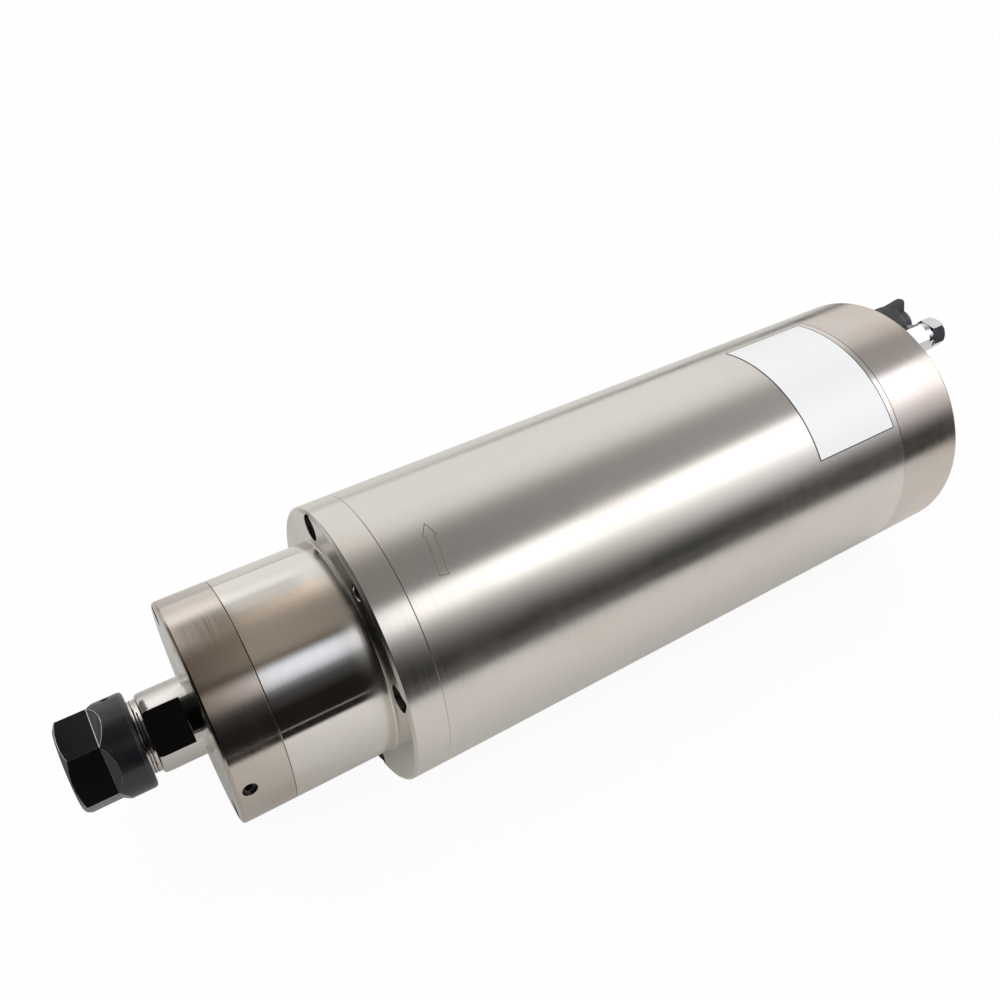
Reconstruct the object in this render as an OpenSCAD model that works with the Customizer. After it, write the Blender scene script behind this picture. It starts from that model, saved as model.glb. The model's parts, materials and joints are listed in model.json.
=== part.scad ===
// Water-cooled drilling motor spindle with a collet chuck.
// The axis is X: the nose points to -X, the rear to +X, and +Z is up.
// The origin is the centre of the flange's front face.

/* [Body] */
// Diameter of the cylindrical body
body_d = 105; // [104:0.5:112]
// Thickness of the front flange
flange_t = 13; // [12:0.5:16]
// Length of the outer tube
tube_len = 215; // [208:1:240]
// Wall of the outer tube
tube_wall = 2.5; // [2:0.1:3]
// Length of the rear cap behind the tube
rear_cap_len = 32; // [30:0.5:38]
// Thickness of the rear cap's end wall
rear_wall = 10; // [9:0.5:12]
// Chamfer on the outer edges
edge = 1; // [0.6:0.1:1.2]
// Depth of the fine grooves where outer pieces meet
seam = 0.15; // [0.1:0.05:0.3]

/* [Nose] */
// Diameter of the nose
nose_d = 80; // [78:0.5:82]
// Length of the nose in front of the flange
nose_len = 55.5; // [53:0.5:60]
// Length of the front cover, which is the nose's first part
cover_len = 18.5; // [17:0.5:20]
// Thickness of the lip around the shaft
cover_lip = 3; // [2:0.5:4]
// Step of the front cover into the bearing housing
cover_step = 3; // [2:0.5:4]
// Running gap between the lip and the shaft
lip_gap = 0.3; // [0.2:0.05:0.5]
// Radial gap around the labyrinth nut
labyrinth_gap = 0.5; // [0.4:0.1:0.8]
// Fillet at the root of the nose
nose_fillet = 1; // [0.6:0.1:1.5]

/* [Shaft] */
// Diameter of the shaft in front of the nose
shaft_d = 28; // [27:0.5:29]
// Length of shaft that shows in front of the nose, without its chamfer
shaft_show = 15.4; // [14:0.2:20]
// Distance across the wrench flats
flat_af = 24; // [23.5:0.5:25.5]
// Length of the wrench flats
flat_len = 11.4; // [10:0.2:12]
// Ring left in front of the wrench flats
flat_ring = 0.4; // [0.2:0.1:1]
// Diameter of the nut thread
thread_d = 25; // [24.5:0.5:25.5]
// Length of thread left bare behind the nut
thread_show = 2; // [1:0.1:3]
// Length of the plain neck between the thread and the ground shaft
shaft_neck_len = 1.5; // [1:0.1:2]
// Diameter of the shoulder behind the front bearings
shoulder_d = 37; // [36:0.5:40]
// Length of that shoulder
shoulder_len = 6; // [4:0.5:8]

/* [Collet chuck] */
// Outside diameter of the nut
nut_d = 33.5; // [33:0.5:35]
// Length of the nut
nut_len = 23; // [22:0.1:24]
// Distance across the nut's flats
nut_af = 29; // [28.5:0.5:30]
// Length of the nut's hexagon, from its front face
nut_hex_len = 11.5; // [10:0.1:12]
// Length over which each flat runs out in the collar
nut_ramp = 3; // [2:0.1:4]
// Radius of the nut's front face
nut_face_r = 13.6; // [13:0.1:14.5]
// Length of the cone behind that face
nut_cone_len = 1.7; // [1:0.1:3]
// Running gap around the nut's thread
thread_gap = 0.1; // [0.05:0.05:0.15]
// Length of the collet
collet_len = 31.5; // [30:0.5:33]
// Largest diameter of the collet
collet_d = 20.5; // [20:0.1:21]
// Half angle of the collet's long taper
collet_taper = 8; // [7.5:0.1:8.5]
// Half angle of the collet's front cone
collet_front = 30; // [28:1:32]
// Length of the front cone
collet_head = 3.4; // [3:0.1:3.8]
// Width of the groove behind the front cone
collet_groove = 2.4; // [2.2:0.1:2.8]
// Depth of that groove
collet_groove_depth = 1.4; // [1.2:0.1:1.5]
// Diameter of tool shank that the collet holds
shank_d = 10; // [6:0.5:10]
// Width of the collet's slots
slot_w = 0.9; // [0.6:0.1:1.2]
// Number of slots from each end of the collet
slot_count = 6; // [4:1:8]
// Gap between the collet and what it seats in
collet_gap = 0.04; // [0.03:0.01:0.06]

/* [Bearings] */
// Bore of the front bearings
front_bore = 30; // [29.5:0.5:31]
// Outside diameter of the front bearings
front_od = 62; // [60:0.5:63]
// Width of one front bearing
front_w = 16; // [15:0.5:17]
// Diameter of the front bearings' balls
front_ball = 9.5; // [9:0.1:10]
// Number of balls in a front bearing
front_balls = 12; // [9:1:13]
// Length of the spacers between the front bearings
spacer_len = 8; // [6:0.5:10]
// Bore of the rear bearing
rear_bore = 25; // [24:0.5:26]
// Outside diameter of the rear bearing
rear_od = 52; // [50:0.5:52]
// Width of the rear bearing
rear_w = 15; // [14:0.5:16]
// Diameter of the rear bearing's balls
rear_ball = 7.9; // [7:0.1:8.2]
// Number of balls in the rear bearing
rear_balls = 9; // [7:1:11]
// Gap between a ball and its grooves
ball_gap = 0.12; // [0.1:0.01:0.15]
// Gap between turned pieces that sit in each other
fit = 0.02; // [0.01:0.01:0.03]
// Length of the wave spring
spring_len = 2.5; // [2:0.1:3]

/* [Motor] */
// Diameter of the stator's bore as a share of its outside diameter
bore_share = 0.667; // [0.65:0.001:0.68]
// Length of the laminated stack
stator_len = 95; // [80:1:100]
// Number of stator slots
stator_slots = 24; // [18:6:24]
// Gap between rotor and stator
air_gap = 0.4; // [0.3:0.05:0.5]
// Depth of iron in the rotor
rotor_depth = 8.1; // [7.8:0.1:8.5]
// Length of the winding's end turns
end_turn_len = 20; // [15:0.5:22]
// Number of rotor bars
rotor_bars = 22; // [16:2:24]
// Length of the rotor's end rings
end_ring_len = 8; // [6:0.5:10]

/* [Cooling] */
// Thickness of the cooling jacket around the stator
jacket_t = 11; // [10.5:0.1:11.5]
// Depth of the water grooves
water_depth = 3; // [2.5:0.1:3.5]
// Length of one water groove along the axis
water_w = 13; // [11:0.5:14]
// Number of water grooves
water_count = 8; // [6:1:8]
// Distance from the jacket's ends to the water grooves
water_end = 17; // [16:0.5:18]
// Diameter of the water passages
passage_d = 4; // [3.5:0.1:4.5]
// Thickness of a large seal ring's section
ring_section = 2; // [1.8:0.1:2.2]
// Thickness of a port seal's section
port_ring = 1.6; // [1.4:0.1:1.8]

/* [Rear end] */
// Thickness of the plate that carries the rear bearing
plate_t = 14; // [13:0.5:16]
// Step of the rear cap into the tube
cap_step = 8; // [7:0.5:10]
// Wall of the hub around the rear bearing
hub_wall = 4; // [3.5:0.5:4.5]
// Distance of the connector's axis from the body's surface
connector_in = 16.5; // [16.5:0.5:18]
// Distance of the hose fittings' axes from the body's surface
port_in = 9; // [8.8:0.1:9.2]
// Angle of the connector round the axis
connector_angle = 74; // [72:1:78]
// Gap between the connector's flange and the first hose fitting
fitting_room = 1.5; // [1:0.1:3]
// Angle of the second hose fitting
fitting_b_angle = 13; // [5:1:16]
// Distance between the motor leads side by side
lead_pitch = 2.4; // [2.3:0.1:2.6]

/* [Connector] */
// Diameter of the connector's flange
conn_flange_d = 25; // [24:0.5:26]
// Diameter of the connector's barrel
conn_barrel_d = 16.4; // [16:0.2:17]
// Length of the connector's barrel
conn_barrel_len = 15; // [12:0.5:16]
// Diameter of the connector's thread in the wall
conn_thread_d = 18.6; // [18:0.2:19]
// Diameter of the insulating insert
conn_insert_d = 13.4; // [12.6:0.2:13.6]
// Number of contact pins
pin_count = 4; // [3:1:4]
// Diameter of a contact pin
pin_d = 1.8; // [1.4:0.1:2]
// Outside diameter of the dust cap
dust_d = 20.4; // [20:0.2:21]
// Length of the dust cap
dust_len = 25; // [24:0.5:27]
// Diameter of the dust cap's end
dust_end_d = 14.4; // [13:0.2:15]
// Distance of the pull tab's tip from the cap's axis
tab_reach = 11.9; // [11.5:0.1:12.5]
// Gap between the dust cap and the barrel
dust_gap = 0.1; // [0.08:0.01:0.15]

/* [Hose fittings] */
// Distance across the flats of the fitting's hexagon
fitting_af = 12.5; // [12:0.1:13]
// Length of the fitting's hexagon
fitting_hex_len = 11; // [10:0.5:13]
// Distance across the flats of the hose nut
hose_nut_af = 12; // [11.6:0.1:12.4]
// Length of the hose nut
hose_nut_len = 7.7; // [6.4:0.1:8]
// Diameter of the fitting's neck
neck_d = 12; // [11:0.2:12.2]
// Length of that neck
neck_len = 3.5; // [3:0.1:5]
// Diameter of the fitting's thread in the rear cap
port_thread_d = 10; // [9:0.5:10]
// Diameter of the hose that the fitting holds
hose_d = 8; // [7.6:0.1:8.2]

/* [Screws] */
// Diameter of the flange and rear cap screws
m5_d = 5; // [4.5:0.5:5]
// Diameter of the cover screws
m4_d = 4; // [3:0.5:4]
// Clearance of a screw in its through hole
hole_gap = 0.25; // [0.2:0.05:0.4]
// Clearance of a screw in its threaded hole
tap_gap = 0.05; // [0.03:0.01:0.08]
// Length of a flange screw under its head
flange_screw_len = 14; // [12:0.5:14]
// Length of a cover screw under its head
cover_screw_len = 23; // [20:0.5:25]
// Depth of thread that a rear cap screw takes in the jacket
rear_grip = 9; // [8:0.5:11]
// Distance of the flange screws' circle from the body's surface
flange_screw_in = 5.5; // [5.5:0.1:6.2]
// Diameter of the two jacking holes in the flange
jack_d = 5.5; // [4.5:0.5:5.5]
// Distance of the jacking holes' circle from the body's surface
jack_in = 4.5; // [4.5:0.1:5]
// Diameter of the grease screw
grease_d = 5; // [4:0.5:5]

/* [Hidden] */
$fn = 64;
// Small length by which a cutting shape passes the surface it cuts
eps = 0.01;

// Stations along the axis
nose_x = -nose_len;
cover_x1 = nose_x + cover_len;
tube_x1 = flange_t + tube_len;
rear_x = tube_x1 + rear_cap_len;
plate_x1 = tube_x1 - cap_step;
jacket_x1 = plate_x1 - plate_t;
cavity_x1 = rear_x - rear_wall;

// Radii of the body
body_r = body_d / 2;
nose_r = nose_d / 2;
tube_ri = body_r - tube_wall;
jacket_r = tube_ri - fit;
jacket_ri = jacket_r - jacket_t;
water_floor_r = jacket_r - water_depth;
spigot_len = 8;

// Front bearing stack, from the cover back to the housing's shoulder
stack_x0 = cover_x1 + cover_step;
bearing_a_x = stack_x0;
spacer_x = bearing_a_x + front_w;
bearing_b_x = spacer_x + spacer_len;
stack_x1 = bearing_b_x + front_w;
lock_nut_len = 12;
lock_nut_r = 20;
housing_bore_r = front_od / 2 - 5;

// Shaft and chuck
land_x0 = nose_x - shaft_show;
shaft_neck_r = thread_d / 2 + 0.2;
nut_x1 = land_x0 - shaft_neck_len - thread_show;
nut_x0 = nut_x1 - nut_len;
collet_x0 = nut_x0 + 0.3;
taper_x0 = collet_x0 + collet_head + collet_groove;
shaft_x0 = taper_x0 + 0.1;
collet_x1 = collet_x0 + collet_len;
groove_r = collet_d / 2 - collet_groove_depth;
face_r = collet_d / 2 - collet_head * tan(collet_front);
function taper_r(x) = collet_d / 2 - (x - taper_x0) * tan(collet_taper);
shank_relief_len = 7;
shank_room_x1 = collet_x1 + 20;

// Motor, centred in the jacket
stator_x0 = (flange_t + jacket_x1 - stator_len) / 2;
stator_x1 = stator_x0 + stator_len;
stator_d = 2 * (jacket_ri - fit);
stator_bore = stator_d * bore_share;
rotor_r = stator_bore / 2 - air_gap;
rotor_seat_d = 2 * (rotor_r - rotor_depth);
slot_r0 = stator_bore / 2 + 1.5;
slot_r1 = stator_d / 2 - 5;
slot_mouth = 2;
winding_gap = 0.3;
winding_x0 = stator_x0 - end_turn_len;
winding_x1 = stator_x1 + end_turn_len;
winding_ro = stator_d / 2 - 2;
bar_d = 3.2;
bar_r = rotor_r - 2.6;
bar_gap = 0.03;

// Rear bearing
rear_seat_x = jacket_x1 + 3;
rear_brg_x = rear_seat_x + spring_len;
hub_x1 = rear_brg_x + rear_w + 3;
hub_r = rear_od / 2 + hub_wall;
rear_nut_len = 7;
rear_nut_r = 16;
rear_shoulder_r = 16;
shaft_tail_r = rear_bore / 2 - fit;
shaft_x1 = rear_brg_x + rear_w + rear_nut_len;

// Screw circles and sizes
flange_screw_r = body_r - flange_screw_in;
jack_r = body_r - jack_in;
flange_screw_angles = [67.5, 157.5, 247.5, 337.5];
jack_angles = [112.5, 292.5];
jack_chamfer = 0.35;
cover_screw_r = (front_od / 2 + nose_r) / 2;
cover_screw_angles = [45, 135, 225, 315];
cover_jack_angles = [90, 270];
cover_jack_d = 2.6;
cover_jack_r = front_od / 2 + cover_jack_d / 2 + 0.2;
rear_screw_r = jacket_r - 5;
rear_screw_angles = [45, 165, 285];
m5_head_d = m5_d * 1.7;
m5_head_h = m5_d;
m4_head_d = m4_d * 1.75;
m4_head_h = m4_d;
head_gap = 0.65;
m5_sink = m5_head_h + 0.5;
flange_sink = m5_head_h + 2;
m4_sink = m4_head_h + 0.4;
grease_angle = 174.5;
grease_x = nose_x + 4.6;
grease_len = 6;

// Connector and ports: the first fitting keeps clear of the connector's flange
connector_r = body_r - connector_in;
port_r = body_r - port_in;
fitting_hex_r = fitting_af / 2 / cos(30);
fitting_apart = conn_flange_d / 2 + fitting_hex_r + fitting_room;
fitting_a_angle = connector_angle
    + acos((pow(connector_r, 2) + pow(port_r, 2) - pow(fitting_apart, 2)) / (2 * connector_r * port_r));

// Water passages
port_angles = [fitting_a_angle, fitting_b_angle];
passage_r = passage_d / 2;
water_x0 = flange_t + water_end;
water_pitch = (jacket_x1 - flange_t - 2 * water_end - water_w) / (water_count - 1);
water_x1 = water_x0 + (water_count - 1) * water_pitch;
port_ring_r = passage_r + 0.3 + port_ring / 2;
cross_r0 = port_r - passage_r - 0.4;
jacket_ring_in = 6;

// Connector
conn_thread_r = conn_thread_d / 2;
conn_hole_gap = 0.15;
conn_flange_t = 2.5;
conn_tail_x = cavity_x1 - 4;
conn_barrel_x1 = rear_x + conn_flange_t + conn_barrel_len;
conn_nut_af = 22;
conn_nut_len = 3.4;
conn_pocket_r = 13;
insert_recess = 7;
pin_circle_r = 2.6;
pin_x0 = conn_tail_x - 2;
pin_x1 = conn_barrel_x1 - 3.5;
lead_r = (hub_r + jacket_ri) / 2;
lead_gap = 0.15;
lead_step = lead_pitch / lead_r * 180 / PI;
lead_angles = [for (i = [0:pin_count - 1]) connector_angle + (i - (pin_count - 1) / 2) * lead_step];
lead_pins = pin_count == 4 ? [3, 0, 2, 1] : [2, 0, 1];
lead_bend_x = hub_x1 + 1;
cavity_r = hub_r + 3;
dust_x0 = rear_x + conn_flange_t + 0.3;
dust_x1 = dust_x0 + dust_len;
dust_ri = conn_barrel_d / 2 + dust_gap;
dust_room_x1 = conn_barrel_x1 + 1.5;
dust_round = 3;

// Hose fittings
fitting_hex_x1 = rear_x + fitting_hex_len;
fitting_neck_x1 = fitting_hex_x1 + neck_len;
hose_nut_x0 = fitting_neck_x1 + 0.3;
hose_nut_x1 = hose_nut_x0 + hose_nut_len;
fitting_thread_r = 5.2;
fitting_thread_x1 = hose_nut_x0 + 3;
stem_r = 2.7;
stem_x1 = hose_nut_x1 - 1;
hose_bore_r = hose_d / 2 + 0.1;
nut_bore_gap = 0.1;
nut_lip = 2;
ferrule_gap = 0.1;
ferrule_len = hose_nut_x1 - nut_lip - fitting_thread_x1 - 2 * ferrule_gap;

// Rod along the axis from x0 to x1
module rod(x0, x1, r) {
    translate([x0, 0, 0]) rotate([0, 90, 0]) cylinder(h = x1 - x0, r = r);
}

// Cone along the axis, of radius r0 at x0 and r1 at x1
module cone(x0, x1, r0, r1) {
    translate([x0, 0, 0]) rotate([0, 90, 0]) cylinder(h = x1 - x0, r1 = r0, r2 = r1);
}

// Plain ring
module ring(x0, x1, ro, ri) {
    difference() {
        rod(x0, x1, ro);
        rod(x0 - eps, x1 + eps, ri);
    }
}

// Turned piece, from a profile of [radius, x] points
module turned(profile) {
    rotate([0, 90, 0]) rotate_extrude() polygon(profile);
}

// Copies of a shape at a distance r from the axis, one at each angle
module around(r, angles) {
    for (a = angles) translate([0, r * cos(a), r * sin(a)]) children();
}

// The children turned about the axis, so that +Y becomes the radial direction at angle a
module radial(a) {
    rotate([a, 0, 0]) children();
}

// Seal ring of round section about the axis
module seal_ring(x, r, section) {
    translate([x, 0, 0]) rotate([0, 90, 0]) rotate_extrude() translate([r, 0]) circle(d = section);
}

// Hexagonal bar across flats af, from x0 to x1
module hex_bar(x0, x1, af) {
    translate([x0, 0, 0]) rotate([0, 90, 0]) cylinder(h = x1 - x0, d = af / cos(30), $fn = 6);
}

// Socket cap screw on the axis: head from x, shank towards +X
module cap_screw(x, d, len, head_d, head_h) {
    difference() {
        union() {
            turned([[0, x], [head_d / 2 - 0.4, x], [head_d / 2, x + 0.4], [head_d / 2, x + head_h],
                [0, x + head_h]]);
            rod(x + head_h - eps, x + head_h + len, d / 2);
        }
        hex_bar(x - eps, x + head_h / 2, d * 0.8);
    }
}

// Screw hole on the axis: sunk head from x, through hole, then threaded part to x1
module screw_hole(x, x1, d, sink_d, sink) {
    rod(x - eps, x + sink, sink_d / 2);
    rod(x + sink - eps, x1, d / 2 + hole_gap);
}

// Chamfered cap over one end of a cylinder: keeps r at x0 and takes c off the corner at x1
module hex_crown(x0, x1, r, c) {
    rod(x0, x1 - c, r);
    cone(x1 - c, x1, r, r - 2 * c);
}

// Cutter for one flat of the nut, with its ramp in the collar
module nut_flat_cut() {
    reach = nut_d / 2 + 1;
    slope = (reach - nut_af / 2) * nut_ramp / (nut_d / 2 - nut_af / 2);
    hex_x1 = nut_x0 + nut_hex_len;
    translate([0, 0, -nut_d / 2]) linear_extrude(nut_d)
        polygon([[nut_x0 - 1, nut_af / 2], [hex_x1, nut_af / 2], [hex_x1 + slope, reach], [nut_x0 - 1, reach]]);
}

// Room inside the nut: thread, ring room, snap lip, front cone and mouth
module nut_room() {
    cone_x1 = collet_x0 + collet_head;
    lip_x1 = cone_x1 + collet_groove - 0.2;
    gap = 2 * collet_gap;
    turned([[0, nut_x0 - 1], [face_r + gap, nut_x0 - 1], [face_r + gap, collet_x0],
        [collet_d / 2 + gap, cone_x1], [collet_d / 2 + gap, cone_x1 + 0.1], [groove_r + 0.2, cone_x1 + 0.3],
        [groove_r + 0.2, lip_x1 - 0.2], [thread_d / 2 + thread_gap, lip_x1],
        [thread_d / 2 + thread_gap, nut_x1 + 1], [0, nut_x1 + 1]]);
}

module collet_nut() {
    color([0.08, 0.08, 0.09]) difference() {
        turned([[0, nut_x0], [nut_face_r, nut_x0], [nut_d / 2, nut_x0 + nut_cone_len], [nut_d / 2, nut_x1 - 1.2],
            [nut_d / 2 - 0.35, nut_x1 - 0.35], [nut_d / 2 - 1.2, nut_x1], [0, nut_x1]]);
        nut_room();
        for (i = [0:5]) radial(30 + i * 60) nut_flat_cut();
        radial(55) translate([nut_x1 - 5.5, nut_d / 2 - 2.5, 0]) rotate([-90, 0, 0]) cylinder(h = 5, d = 2.4);
    }
}

module collet() {
    slot_end = 6.5;
    back_r = taper_r(collet_x1);
    color([0.62, 0.63, 0.65]) difference() {
        turned([[0, collet_x0], [face_r, collet_x0], [collet_d / 2, collet_x0 + collet_head],
            [groove_r, collet_x0 + collet_head], [groove_r, taper_x0], [collet_d / 2, taper_x0],
            [back_r + 0.4 * tan(collet_taper), collet_x1 - 0.4], [back_r - 0.4, collet_x1], [0, collet_x1]]);
        rod(collet_x0 - 1, collet_x1 + 1, shank_d / 2);
        rod(collet_x1 - shank_relief_len, collet_x1 + 1, shank_d / 2 + 0.4);
        for (i = [0:slot_count - 1]) {
            radial(i * 360 / slot_count)
                translate([collet_x0 - 1, 0, -slot_w / 2]) cube([collet_len - slot_end + 1, collet_d, slot_w]);
            radial((i + 0.5) * 360 / slot_count)
                translate([collet_x0 + slot_end + 1, 0, -slot_w / 2]) cube([collet_len, collet_d, slot_w]);
        }
    }
}

module spindle_shaft() {
    seat_r = front_bore / 2 - fit;
    rotor_r_in = rotor_seat_d / 2 - fit;
    color([0.78, 0.78, 0.77]) difference() {
        turned([[0, shaft_x0], [thread_d / 2 - 0.6, shaft_x0], [thread_d / 2, shaft_x0 + 0.6],
            [thread_d / 2, land_x0 - shaft_neck_len], [shaft_neck_r, land_x0 - shaft_neck_len],
            [shaft_neck_r, land_x0],
            [max(shaft_neck_r + 0.05, shaft_d / 2 - 1), land_x0], [shaft_d / 2 - 0.45, land_x0 + 0.7],
            [shaft_d / 2 - 0.15, land_x0 + 1.6], [shaft_d / 2, land_x0 + 2.8], [shaft_d / 2, stack_x0],
            [seat_r, stack_x0], [seat_r, stack_x1], [shoulder_d / 2, stack_x1],
            [shoulder_d / 2, stack_x1 + shoulder_len], [rotor_r_in, stack_x1 + shoulder_len],
            [rotor_r_in, stator_x1 + end_ring_len], [rear_shoulder_r, stator_x1 + end_ring_len],
            [rear_shoulder_r, rear_brg_x], [shaft_tail_r, rear_brg_x], [shaft_tail_r, shaft_x1 - 1],
            [shaft_tail_r - 1, shaft_x1], [0, shaft_x1]]);
        cone(shaft_x0 - 1, collet_x1 + 0.5, taper_r(shaft_x0 - 1) + collet_gap, taper_r(collet_x1 + 0.5) + collet_gap);
        rod(collet_x1, shank_room_x1, shank_d / 2 + 1);
        for (a = [132.5, 312.5]) radial(a)
            translate([land_x0 + flat_ring, flat_af / 2, -shaft_d / 2]) cube([flat_len, shaft_d, shaft_d]);
    }
}

// Labyrinth nut that clamps the front bearings on the shaft
module front_lock_nut() {
    x0 = stack_x0 - lock_nut_len;
    color([0.45, 0.45, 0.47]) difference() {
        turned([[shaft_d / 2 + fit, x0], [lock_nut_r - 2, x0], [lock_nut_r - 2, x0 + 2], [lock_nut_r, x0 + 2],
            [lock_nut_r, x0 + 5], [lock_nut_r - 2, x0 + 5], [lock_nut_r - 2, x0 + 7], [lock_nut_r, x0 + 7],
            [lock_nut_r, stack_x0], [shaft_d / 2 + fit, stack_x0]]);
        around(lock_nut_r - 3.6, [0, 90, 180, 270]) rod(x0 - eps, x0 + 3, 1.2);
    }
}

module front_cover() {
    lip_r = shaft_d / 2 + lip_gap;
    room_r = lock_nut_r + labyrinth_gap;
    step_r = front_od / 2;
    color([0.72, 0.68, 0.62]) difference() {
        turned([[lip_r, nose_x], [nose_r - edge, nose_x], [nose_r - edge * 0.3, nose_x + edge * 0.3],
            [nose_r, nose_x + edge], [nose_r, cover_x1 - seam], [nose_r - seam, cover_x1], [step_r, cover_x1],
            [step_r, stack_x0], [room_r, stack_x0], [room_r, nose_x + cover_lip], [lip_r, nose_x + cover_lip]]);
        around(cover_screw_r, cover_screw_angles)
            screw_hole(nose_x, cover_x1 + 1, m4_d, m4_head_d + head_gap, m4_sink);
        around(cover_jack_r, cover_jack_angles) rod(nose_x - eps, cover_x1 + eps, cover_jack_d / 2);
        radial(grease_angle) translate([grease_x, room_r - 1, 0]) rotate([-90, 0, 0])
            cylinder(h = nose_r, d = grease_d + 2 * tap_gap);
    }
}

module cover_screws() {
    color([0.3, 0.3, 0.31]) around(cover_screw_r, cover_screw_angles)
        cap_screw(nose_x + m4_sink - m4_head_h, m4_d, cover_screw_len, m4_head_d, m4_head_h);
}

module grease_screw() {
    top = nose_r - 1;
    color([0.12, 0.12, 0.13]) radial(grease_angle) translate([grease_x, top - grease_len, 0]) rotate([-90, 0, 0])
        difference() {
            cylinder(h = grease_len, d = grease_d);
            translate([0, 0, grease_len - 2.5]) cylinder(h = 3, d = grease_d * 0.5 / cos(30), $fn = 6);
        }
}

module front_housing() {
    seat_r = front_od / 2 + fit;
    spigot_r = stator_d / 2;
    spigot_x1 = flange_t + spigot_len;
    ring_x = flange_t + spigot_len / 2;
    color([0.8, 0.79, 0.77]) difference() {
        turned([[seat_r, cover_x1], [nose_r - seam, cover_x1], [nose_r, cover_x1 + seam],
            [nose_r, -nose_fillet], [nose_r + nose_fillet * 0.3, -nose_fillet * 0.3], [nose_r + nose_fillet, 0],
            [body_r - edge, 0], [body_r, edge], [body_r, flange_t - seam], [body_r - seam, flange_t],
            [spigot_r, flange_t], [spigot_r, spigot_x1], [spigot_r - 4, spigot_x1],
            [housing_bore_r, stack_x1 + 4], [housing_bore_r, stack_x1], [seat_r, stack_x1]]);
        around(flange_screw_r, flange_screw_angles)
            screw_hole(0, flange_t + 1, m5_d, m5_head_d + 2 * head_gap, flange_sink);
        around(jack_r, jack_angles) {
            rod(-eps, flange_t + eps, jack_d / 2);
            cone(-eps, jack_chamfer, jack_d / 2 + jack_chamfer, jack_d / 2);
        }
        around(cover_screw_r, cover_screw_angles)
            rod(cover_x1 - eps, nose_x + m4_sink + cover_screw_len + 3, m4_d / 2 + tap_gap);
        difference() {
            rod(ring_x - ring_section * 0.65, ring_x + ring_section * 0.65, spigot_r + eps);
            rod(ring_x - ring_section, ring_x + ring_section, spigot_r - ring_section);
        }
    }
}

module flange_screws() {
    color([0.3, 0.3, 0.31]) around(flange_screw_r, flange_screw_angles)
        cap_screw(flange_sink - m5_head_h, m5_d, flange_screw_len, m5_head_d, m5_head_h);
}

module front_o_ring() {
    color([0.1, 0.1, 0.1])
        seal_ring(flange_t + spigot_len / 2, stator_d / 2 - ring_section / 2 + fit / 2, ring_section);
}

// Pieces of a ball bearing that starts at x: bore, outside diameter, width and ball. The cage has drilled pockets
function ball_circle_r(bore, od) = (bore + od) / 4;

module bearing_outer(x, bore, od, w, ball) {
    pr = ball_circle_r(bore, od);
    difference() {
        ring(x, x + w, od / 2, pr + ball * 0.3);
        seal_ring(x + w / 2, pr, ball + 2 * ball_gap);
    }
}

module bearing_inner(x, bore, od, w, ball) {
    pr = ball_circle_r(bore, od);
    difference() {
        ring(x, x + w, pr - ball * 0.3, bore / 2);
        seal_ring(x + w / 2, pr, ball + 2 * ball_gap);
    }
}

module bearing_balls(x, bore, od, w, ball, count) {
    around(ball_circle_r(bore, od), [for (i = [0:count - 1]) i * 360 / count])
        translate([x + w / 2, 0, 0]) sphere(d = ball);
}

module bearing_cage(x, bore, od, w, ball, count) {
    pr = ball_circle_r(bore, od);
    difference() {
        ring(x + w / 2 - ball * 0.66, x + w / 2 + ball * 0.66, pr + ball * 0.2, pr - ball * 0.2);
        for (i = [0:count - 1]) radial(i * 360 / count)
            translate([x + w / 2, pr - ball, 0]) rotate([-90, 0, 0]) cylinder(h = 2 * ball, r = ball / 2 + ball_gap);
    }
}

module bearing_a_outer() {
    color([0.7, 0.7, 0.72]) bearing_outer(bearing_a_x, front_bore, front_od, front_w, front_ball);
}

module bearing_a_inner() {
    color([0.7, 0.7, 0.72]) bearing_inner(bearing_a_x, front_bore, front_od, front_w, front_ball);
}

module bearing_a_balls() {
    color([0.85, 0.85, 0.87]) bearing_balls(bearing_a_x, front_bore, front_od, front_w, front_ball, front_balls);
}

module bearing_a_cage() {
    color([0.55, 0.45, 0.3]) bearing_cage(bearing_a_x, front_bore, front_od, front_w, front_ball, front_balls);
}

module bearing_b_outer() {
    color([0.7, 0.7, 0.72]) bearing_outer(bearing_b_x, front_bore, front_od, front_w, front_ball);
}

module bearing_b_inner() {
    color([0.7, 0.7, 0.72]) bearing_inner(bearing_b_x, front_bore, front_od, front_w, front_ball);
}

module bearing_b_balls() {
    color([0.85, 0.85, 0.87]) bearing_balls(bearing_b_x, front_bore, front_od, front_w, front_ball, front_balls);
}

module bearing_b_cage() {
    color([0.55, 0.45, 0.3]) bearing_cage(bearing_b_x, front_bore, front_od, front_w, front_ball, front_balls);
}

module inner_spacer() {
    color([0.6, 0.6, 0.62]) ring(spacer_x, bearing_b_x, front_bore / 2 + 3, front_bore / 2);
}

module outer_spacer() {
    color([0.6, 0.6, 0.62]) ring(spacer_x, bearing_b_x, front_od / 2, front_od / 2 - 3);
}

// Places of the rotor's bars
bar_angles = [for (i = [0:rotor_bars - 1]) i * 360 / rotor_bars];

module rotor_core() {
    color([0.35, 0.35, 0.38]) difference() {
        ring(stator_x0, stator_x1, rotor_r, rotor_seat_d / 2);
        around(bar_r, bar_angles) rod(stator_x0 - eps, stator_x1 + eps, bar_d / 2 + bar_gap);
    }
}

module rotor_cage() {
    color([0.75, 0.75, 0.76]) union() {
        ring(stator_x0 - end_ring_len, stator_x0, bar_r + bar_d / 2 + 0.4, rotor_seat_d / 2 + 1);
        ring(stator_x1, stator_x1 + end_ring_len, bar_r + bar_d / 2 + 0.4, rotor_seat_d / 2 + 1);
        around(bar_r, bar_angles) rod(stator_x0 - 1, stator_x1 + 1, bar_d / 2);
    }
}

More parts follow.
